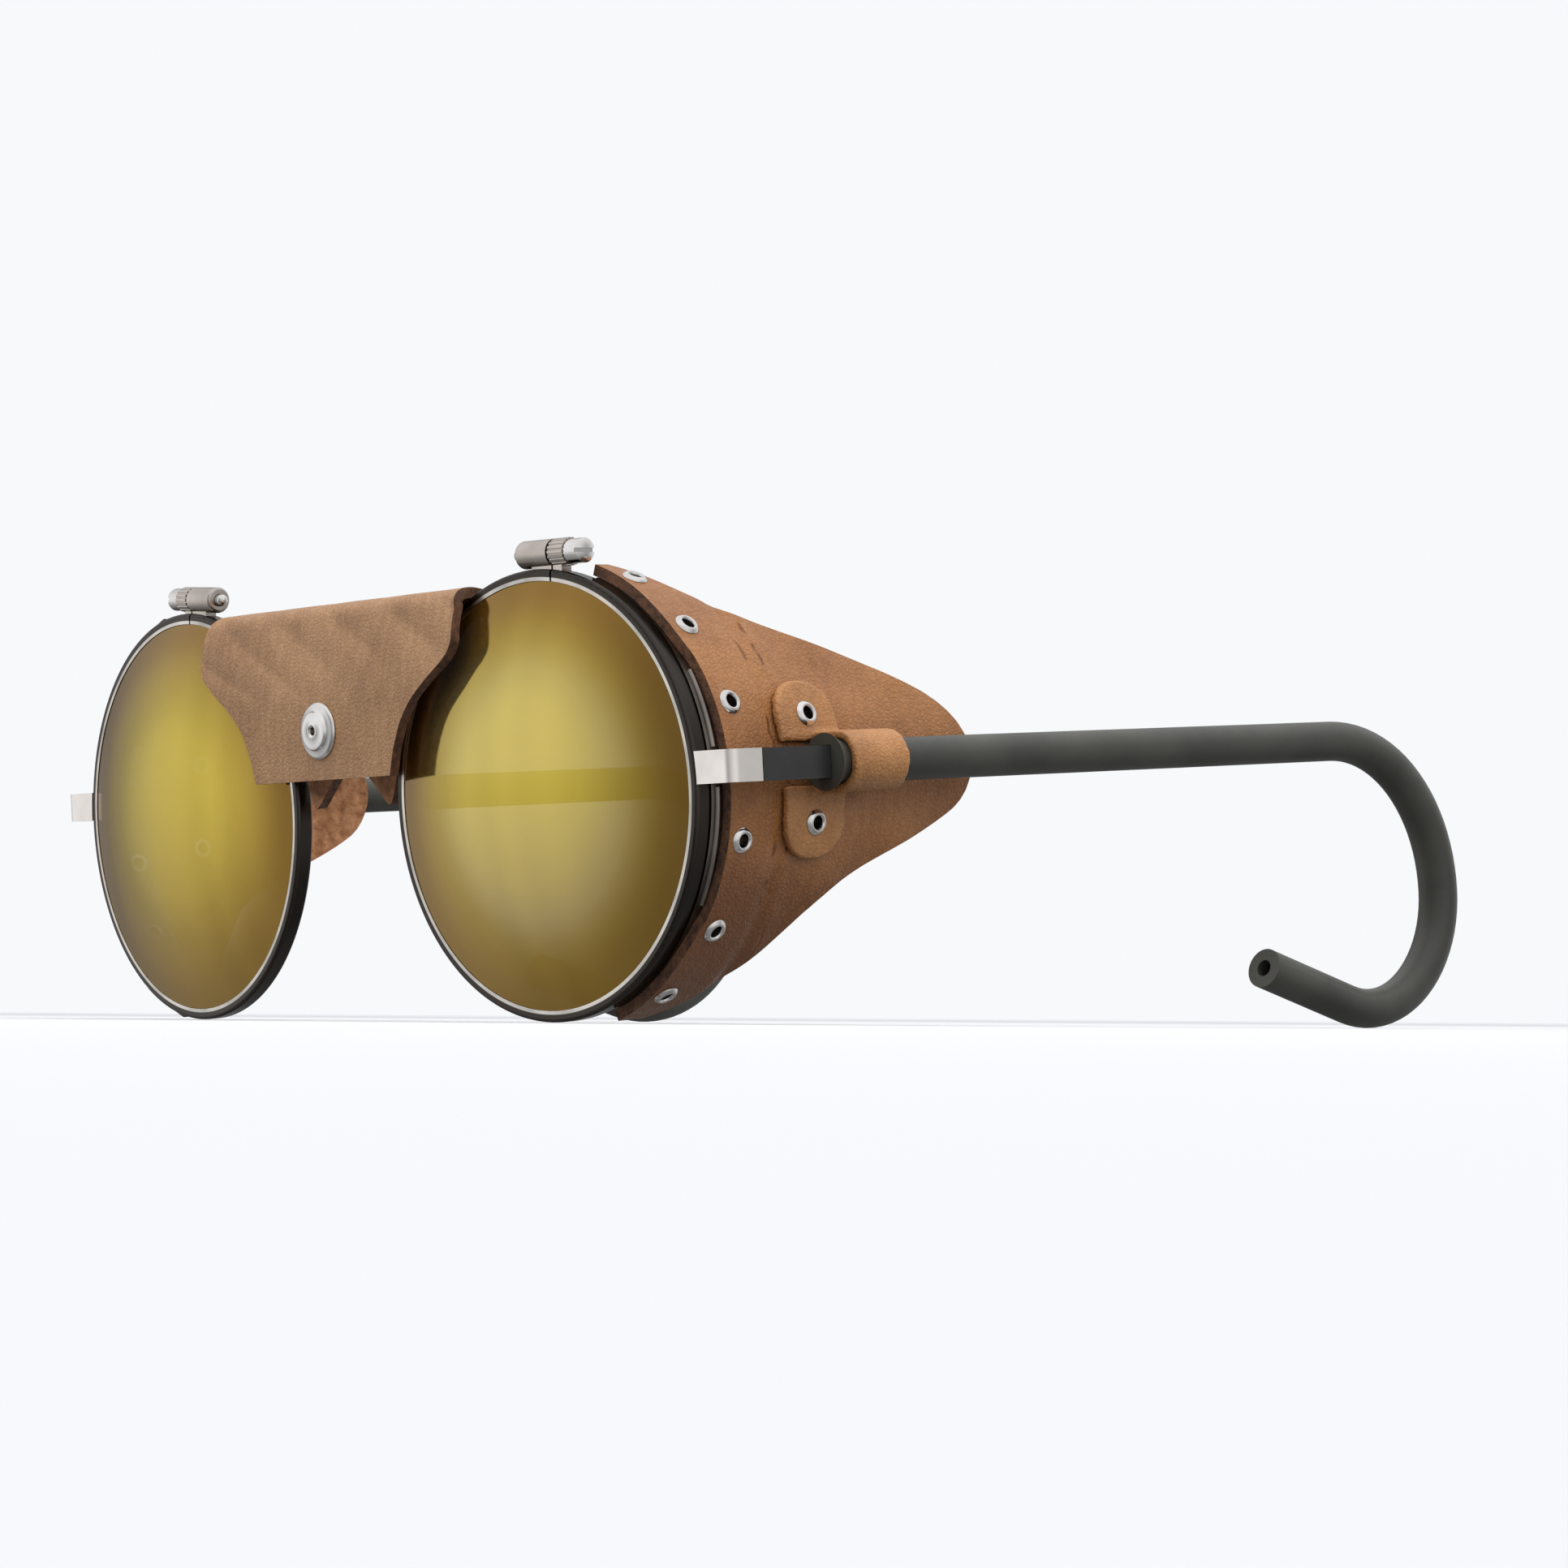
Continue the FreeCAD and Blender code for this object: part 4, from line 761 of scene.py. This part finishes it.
@dataclass
class NoseFlap:
    """Folded leather over the bridge: front panel, fold and back panel with two nose lobes."""

    layout: Layout
    thickness: float = 1.3
    profile: tuple[Point, ...] = (
        (-0.3, 22.0), (-0.3, 36.0), (-0.3, 39.4), (2.05, 42.6), (2.05, 46.0), (2.05, 51.35), (-3.6, 51.35),
        (-4.7, 47.0), (-6.1, 40.4), (-6.1, 36.0), (-6.1, 29.7))
    front_widths: tuple[Point, ...] = (
        (29.7, 14.1), (33.0, 15.0), (37.5, 17.4), (41.5, 23.0), (44.2, 26.6), (47.0, 26.3), (51.4, 25.4))
    back_widths: tuple[Point, ...] = (
        (26.5, 8.9), (31.5, 9.6), (38.0, 10.4), (43.0, 14.5), (47.0, 18.0), (51.4, 25.0))

    def make(self, finishes: dict[str, bpy.types.Material]) -> bpy.types.Object:
        """Build and dress the flap.

        Args:
            finishes: materials by name.

        Returns:
            The finished flap.
        """
        line = smooth_line(list(self.profile), 3)
        steps = [0.0]
        for (ay, az), (by, bz) in zip(line, line[1:]):
            steps.append(steps[-1] + math.hypot(by - ay, bz - az))
        heights = [(step, z) for step, (_, z) in zip(steps, line)]
        depths = [(step, y) for step, (y, _) in zip(steps, line)]
        top = next(step for step, z in heights if z >= 51.2)
        front_widths = smooth_line(list(self.front_widths), 2)
        back_widths = smooth_line(list(self.back_widths), 1)
        place = self.layout.stand()

        def shape(across: float, along: float) -> tuple[Vector, Point]:
            share = across * 2.0 - 1.0
            start = self._lobe(abs(share)) - 22.0
            step = start + (steps[-1] - start) * along
            height, depth = read_line(heights, step), read_line(depths, step)
            half = read_line(back_widths, height) if step < top else read_line(front_widths, height)
            if abs(step - top) < 4.0:
                blend = (step - top + 4.0) / 8.0
                half = read_line(back_widths, 51.4) * (1.0 - blend) + read_line(front_widths, height) * blend
            right = half * share
            bow = 0.35 * math.sin(share * 7.0 + height * 0.5) * min(max((height - 38.0) / 8.0, 0.0), 1.0)
            return place @ Vector((right, depth - abs(bow) * (step > top), height)), (right, step)

        piece = Bench.panel("nose_flap_leather", 120, 110, shape)
        face = max(piece.data.polygons, key=lambda one: one.center.z)
        if face.normal.z < 0:
            Bench.edit(piece, bpy.ops.mesh.flip_normals)
        for name in ("flap_leather", "flesh_side", "raw_edge"):
            piece.data.materials.append(finishes[name])
        Bench.apply(piece, "SOLIDIFY", thickness=self.thickness * MM, offset=-1.0, material_offset=1,
                    material_offset_rim=2)
        Bench.soften(piece, 40.0)
        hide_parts("nose_flap")
        stand = self.layout.stand()
        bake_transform(piece)
        return piece

    def _lobe(self, share: float) -> float:
        """Lower edge height of the back panel at a share of its half width."""
        edge = [(0.0, 31.5), (0.3, 30.6), (0.82, 26.2), (0.92, 26.4), (1.0, 29.5)]
        return read_line(smooth_line(edge, 2), share)


# ---- Loop straps ------------------------------------------------------------------------------


@dataclass
class LoopStrap:
    """Leather strap round the rubber sleeve, with two rounded lobes."""

    side: Side
    voxel: float = 0.28

    def make(self, finishes: dict[str, bpy.types.Material]) -> bpy.types.Object:
        """Build the strap with softened edges.

        Args:
            finishes: materials by name.

        Returns:
            The finished strap.
        """
        node = f"loop_strap_{self.side.word}"
        piece = Bench.copy_node(node, f"loop_strap_leather_{self.side.word}")
        Bench.apply(piece, "REMESH", mode="VOXEL", voxel_size=self.voxel * MM, adaptivity=0.0)
        Bench.apply(piece, "SMOOTH", factor=0.5, iterations=3)
        piece.data.materials.append(finishes["strap_leather"])
        Bench.soften(piece, 60.0)
        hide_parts(node)
        ride_and_flatten(piece, self.side)
        return piece


# ---- Snap cap ---------------------------------------------------------------------------------


@dataclass
class SnapCap:
    """Stepped and domed cap of the snap, turned about its axis."""

    layout: Layout
    height: float = 35.7
    face: float = -6.12
    rings: tuple[Point, ...] = (
        (0.45, -0.55), (0.52, -0.95), (0.75, -1.12), (1.05, -1.08), (1.2, -0.98), (1.9, -1.0), (2.25, -0.92),
        (2.4, -0.62), (2.55, -0.5), (3.1, -0.46), (3.42, -0.3), (3.5, -0.12), (3.44, 0.0), (0.45, 0.0))

    def make(self, finishes: dict[str, bpy.types.Material]) -> bpy.types.Object:
        """Spin the cap's section round its axis.

        Args:
            finishes: materials by name.

        Returns:
            The finished cap.
        """
        outline = [Vector((radius, depth, 0.0)) for radius, depth in self.rings]
        piece = Bench.turned(outline, (0.0, 1.0, 0.0), 64)
        piece.name = piece.data.name = "snap_cap_turned"
        place = self.layout.stand() @ Matrix.Translation(Vector((0.0, self.face, self.height)))
        piece.data.transform(place)
        piece.data.materials.append(finishes["bright_nickel"])
        Bench.soften(piece, 40.0)
        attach(piece, "flap")
        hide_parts("snap_cap")
        return piece


# ---- Eyelets ----------------------------------------------------------------------------------


@dataclass
class Eyelets:
    """Rolled eyelets, one turned and then copied to its places on the shield."""

    side: Side
    layout: Layout
    node: str
    name: str
    places: tuple[Point, ...]
    radius: float
    barrel: float
    section: tuple[Point, ...] = (
        (0.74, 0.1), (0.8, 0.3), (0.94, 0.42), (1.1, 0.4), (1.3, 0.24), (1.46, 0.08), (1.5, 0.01), (1.42, 0.0),
        (0.96, 0.0))

    def make(self, finishes: dict[str, bpy.types.Material]) -> bpy.types.Object:
        """Turn one eyelet, copy it and join the copies.

        Args:
            finishes: materials by name.

        Returns:
            The group of eyelets.
        """
        deep = -self.barrel
        corners = (*self.section, (0.96, deep), (1.3, deep - 0.04), (1.28, deep - 0.24), (0.76, deep - 0.26))
        first = Bench.turned([Vector((across, 0.0, up)) for across, up in corners], (0.0, 0.0, 1.0), 28)
        first.data.materials.append(finishes["bright_nickel"])
        first.data.materials.append(finishes["eyelet_bore_painted_shade"])
        # Painted shade: the faces inside the bore take the dark bore metal, standing in for the shade inside the
        # eyelet's hole.
        for face in first.data.polygons:
            if face.center.xy.length < 0.86 and face.center.z < 0.15:
                face.material_index = 1
        copies = []
        for angle, depth in self.places:
            copy = bpy.data.objects.new(self.name, first.data.copy())
            bpy.context.scene.collection.objects.link(copy)
            copy.data.transform(self.layout.on_shield(angle, depth, self.radius))
            copies.append(copy)
        bpy.data.objects.remove(first)
        group = Bench.join(copies)
        group.name = f"{self.name}_{self.side.word}"
        Bench.soften(group, 50.0)
        to_side(group, self.side)
        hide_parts(f"{self.node}_{self.side.word}")
        return group


# ---- Metal, glass and rubber that keep the model's shape --------------------------------------


@dataclass(frozen=True)
class Dressing:
    """Which finish each carried-over node takes."""

    finishes: tuple[tuple[str, str], ...] = (
        ("rim_left", "rim_nickel_left"), ("rim_right", "rim_nickel_right"), ("lock", "dark_nickel"),
        ("lock_screw", "bright_nickel"), ("end_piece", "satin_nickel"),
        ("hinge_screw", "satin_nickel"), ("shield_band", "rail_nickel"), ("shield_eyelets", "bright_nickel"),
        ("loop_eyelets", "bright_nickel"), ("bridge_bar", "dark_nickel"), ("snap_stud", "bright_nickel"),
        ("snap_rivet", "bright_nickel"), ("snap_socket", "bright_nickel"), ("snap_cap", "bright_nickel"),
        ("temple_bar", "black_coat"), ("temple_core", "satin_nickel"), ("temple_sleeve", "black_rubber"),
        ("lens_left", "gold_left"), ("lens_right", "gold_right"), ("side_shield", "shield_leather"),
        ("nose_flap", "flap_leather"), ("loop_strap", "strap_leather"))

    def apply(self, finishes: dict[str, bpy.types.Material]) -> None:
        """Give every node its finish."""
        for name, node in sorted(frame["nodes"].items()):
            fitting = (pair for pair in self.finishes if name.startswith(pair[0]))
            best = max(fitting, key=lambda pair: len(pair[0]))
            node.data.materials.clear()
            node.data.materials.append(finishes[best[1]])
            log.info("%s dressed in %s", name, best[1])


# ---- Studio -----------------------------------------------------------------------------------


@dataclass(frozen=True)
class Studio:
    """Pale floor, soft lights and the camera."""

    eye: Point3 = (0.402705, -0.346192, 0.000775)
    yaw: float = 0.846157
    pitch: float = 0.058134
    roll: float = 0.0073043
    lens_mm: float = 92.23

    def build(self) -> None:
        """Set up everything round the object."""
        self._floor()
        self._world()
        self._light("key_light", (-0.25, -0.75, 0.65), (0.0, 0.0, 0.03), 0.9, 4.0)
        self._light("side_light", (0.75, 0.05, 0.45), (0.05, 0.0, 0.03), 0.7, 2.0)
        self._light("top_light", (0.05, 0.1, 0.9), (0.0, 0.0, 0.0), 1.0, 6.0)
        self._camera()
        bpy.context.scene.view_settings.view_transform = "Standard"

    def _floor(self) -> None:
        """A wide pale plane under the object."""
        Bench.clear()
        bpy.ops.mesh.primitive_plane_add(size=30.0, location=(0.0, 0.0, 0.0))
        floor = bpy.context.object
        floor.name = "floor"
        material, graph, shader, where = fresh_material("pale_paper")
        distance = graph.add("VectorMath", {"operation": "LENGTH"}, Vector=where).outputs["Value"]
        near = graph.mix(graph.noise(where, 4.0), (0.565, 0.57, 0.58), (0.575, 0.58, 0.59))
        far = graph.spread(distance, 0.5, 2.2)
        graph.feed(shader, "Base Color", graph.mix(far, near, (0.93, 0.94, 0.955)))
        shader.inputs["Roughness"].default_value = 0.9
        shader.inputs["Specular IOR Level"].default_value = 0.0
        floor.data.materials.append(material)
        floor.visible_glossy = False
        floor.visible_diffuse = False

    def _world(self) -> None:
        """White surroundings for the view, with softboxes and darker gaps in what metal mirrors."""
        world = bpy.data.worlds.new("soft_room")
        bpy.context.scene.world = world
        world.use_nodes = True
        graph = Graph(world.node_tree)
        parts = graph.add("SeparateXYZ", Vector=graph.add("TexCoord").outputs["Generated"])
        turn = graph.math("ARCTAN2", parts.outputs["Y"], parts.outputs["X"])
        share = graph.spread(turn, -math.pi, math.pi)
        share.node.interpolation_type = "LINEAR"
        ramp = graph.add("ValToRGB")
        graph.feed(ramp, "Fac", share)
        stops = ((0.03, 0.62), (0.06, 0.9), (0.085, 0.98), (0.1, 0.88), (0.112, 1.02), (0.125, 0.92),
                 (0.14, 1.0), (0.165, 0.78), (0.2, 0.5), (0.25, 0.3), (0.36, 0.7), (0.5, 0.9), (0.62, 0.4),
                 (0.75, 0.9), (0.9, 0.35))
        band = ramp.color_ramp
        band.elements[0].position, band.elements[0].color = 0.0, (0.35, 0.35, 0.36, 1.0)
        band.elements[1].position, band.elements[1].color = 1.0, (0.35, 0.35, 0.36, 1.0)
        for position, value in stops:
            band.elements.new(position).color = (value, value, value * 1.01, 1.0)
        rise = graph.spread(parts.outputs["Z"], 0.25, 0.8)
        fall = graph.spread(parts.outputs["Z"], -0.6, 0.05, 1.0, 0.0)
        upper = graph.mix(rise, ramp.outputs["Color"], (1.0, 1.0, 1.02))
        mirrored = graph.mix(graph.math("MULTIPLY", fall, 0.75), upper, (0.1, 0.1, 0.1))
        seen = graph.add("LightPath").outputs["Is Camera Ray"]
        colour = graph.mix(seen, mirrored, (0.935, 0.947, 0.965))
        background = world.node_tree.nodes["Background"]
        graph.feed(background, "Color", colour)

    def _light(self, name: str, place: Point3, aim: Point3, size: float, watts: float) -> None:
        """A square softbox that faces a point."""
        data = bpy.data.lights.new(name, "AREA")
        data.size = size
        data.energy = watts
        light = bpy.data.objects.new(name, data)
        bpy.context.scene.collection.objects.link(light)
        light.visible_glossy = False
        light.location = place
        light.rotation_mode = "QUATERNION"
        light.rotation_quaternion = (Vector(aim) - Vector(place)).to_track_quat("-Z", "Y")

    def _camera(self) -> None:
        """The camera, from its place and three angles."""
        ahead = Vector((-math.sin(self.yaw) * math.cos(self.pitch), math.cos(self.yaw) * math.cos(self.pitch),
                        math.sin(self.pitch)))
        right = ahead.cross(Vector((0.0, 0.0, 1.0))).normalized()
        up = right.cross(ahead)
        c, s = math.cos(self.roll), math.sin(self.roll)
        right, up = right * c + up * s, up * c - right * s
        data = bpy.data.cameras.new("camera")
        data.lens = self.lens_mm
        data.sensor_width = 36.0
        data.clip_start = 0.002
        camera = bpy.data.objects.new("camera", data)
        bpy.context.scene.collection.objects.link(camera)
        turn = Matrix((right, up, -ahead)).transposed().to_4x4()
        camera.matrix_world = Matrix.Translation(Vector(self.eye)) @ turn
        bpy.context.scene.camera = camera


# ---- The whole --------------------------------------------------------------------------------


class GlacierGlasses:
    """The glasses: leather, metal, glass and rubber in the order they are put together."""

    def __init__(self) -> None:
        """Make the shared groups and every finish."""
        self.layout = Layout()
        groups = EffectGroups()
        lens_place = self.layout.lens()
        left = lens_place @ Vector((0.0, 0.0, 0.0))
        right = Vector((-left.x, left.y, left.z))
        kinds = (
            # The rims' bright colour is a painted highlight on the inner lip; their near-black colour is partly
            # their dark finish and partly painted shade.
            Metal("rim_nickel_left", (0.8, 0.76, 0.7), (0.055, 0.048, 0.042), 0.2, 0.04, 0.02530, left),
            Metal("rim_nickel_right", (0.8, 0.76, 0.7), (0.055, 0.048, 0.042), 0.2, 0.04, 0.02530, right),
            Metal("rail_nickel", (0.3, 0.27, 0.24), (0.1, 0.085, 0.075), 0.24),
            Metal("dark_nickel", (0.62, 0.56, 0.51), (0.28, 0.25, 0.22), 0.18, 0.1),
            Metal("bright_nickel", (0.82, 0.81, 0.79), (0.45, 0.43, 0.41), 0.14, 0.03),
            # The dark bore metal is painted shade inside the eyelets' holes.
            Metal("eyelet_bore_painted_shade", (0.16, 0.15, 0.14), (0.05, 0.045, 0.04), 0.35, 0.05),
            Metal("satin_nickel", (0.98, 0.93, 0.88), (0.85, 0.8, 0.75), 0.32, 0.15),
            Leather("shield_leather", (0.37, 0.16, 0.053), (0.17, 0.062, 0.018), 0.4, 1.1, 0.42, (10.2, 12.4)),
            Leather("flap_leather", (0.42, 0.232, 0.11), (0.24, 0.117, 0.053), 0.7, 1.1, 0.45),
            Leather("strap_leather", (0.47, 0.22, 0.078), (0.24, 0.1, 0.033), 0.4, 1.1, 0.42),
            Suede("flesh_side", (0.5, 0.25, 0.12), (0.2, 0.075, 0.03), 700.0, 0.9),
            Suede("raw_edge", (0.2, 0.085, 0.036), (0.035, 0.015, 0.008), 1500.0, 1.0),
            Rubber("black_rubber", (0.034, 0.0342, 0.0285), (0.055, 0.055, 0.046), 0.44),
            Rubber("black_coat", (0.018, 0.018, 0.018), (0.03, 0.03, 0.029), 0.3),
            # The lenses' edge tint is partly the coating's colour and partly painted shade; their low tint is a
            # painted dark reflection.
            MirrorGlass("gold_left", (0.7, 0.54, 0.06), (0.27, 0.145, 0.016), (0.4, 0.24, 0.03), 0.27, left),
            MirrorGlass("gold_right", (0.7, 0.54, 0.06), (0.27, 0.145, 0.016), (0.4, 0.24, 0.03), 0.27, right))
        self.finishes = {kind.name: kind.make(groups) for kind in kinds}

    def build(self) -> None:
        """Dress the frame and make each leather piece."""
        Dressing().apply(self.finishes)
        pieces = [NoseFlap(self.layout).make(self.finishes), SnapCap(self.layout).make(self.finishes)]
        for side in Side:
            pieces.append(SideShield(side, self.layout).make(self.finishes))
            pieces.append(LoopStrap(side).make(self.finishes))
            rim_eyelets = Eyelets(side, self.layout, "shield_eyelets", "rolled_eyelets",
                                  SideShield.rim_eyelets, radius=27.62, barrel=1.87).make(self.finishes)
            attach(rim_eyelets, "front")
            strap_eyelets = Eyelets(side, self.layout, "loop_eyelets", "strap_eyelets",
                                    SideShield.strap_eyelets, radius=28.7, barrel=2.45).make(self.finishes)
            ride_and_flatten(strap_eyelets, side)
            pieces += [rim_eyelets, strap_eyelets]
        for piece in pieces:
            log.info("%s: %d faces", piece.name, len(piece.data.polygons))


def main() -> None:
    """Build the glasses and their studio."""
    GlacierGlasses().build()
    Studio().build()


if __name__ == "__main__":
    main()
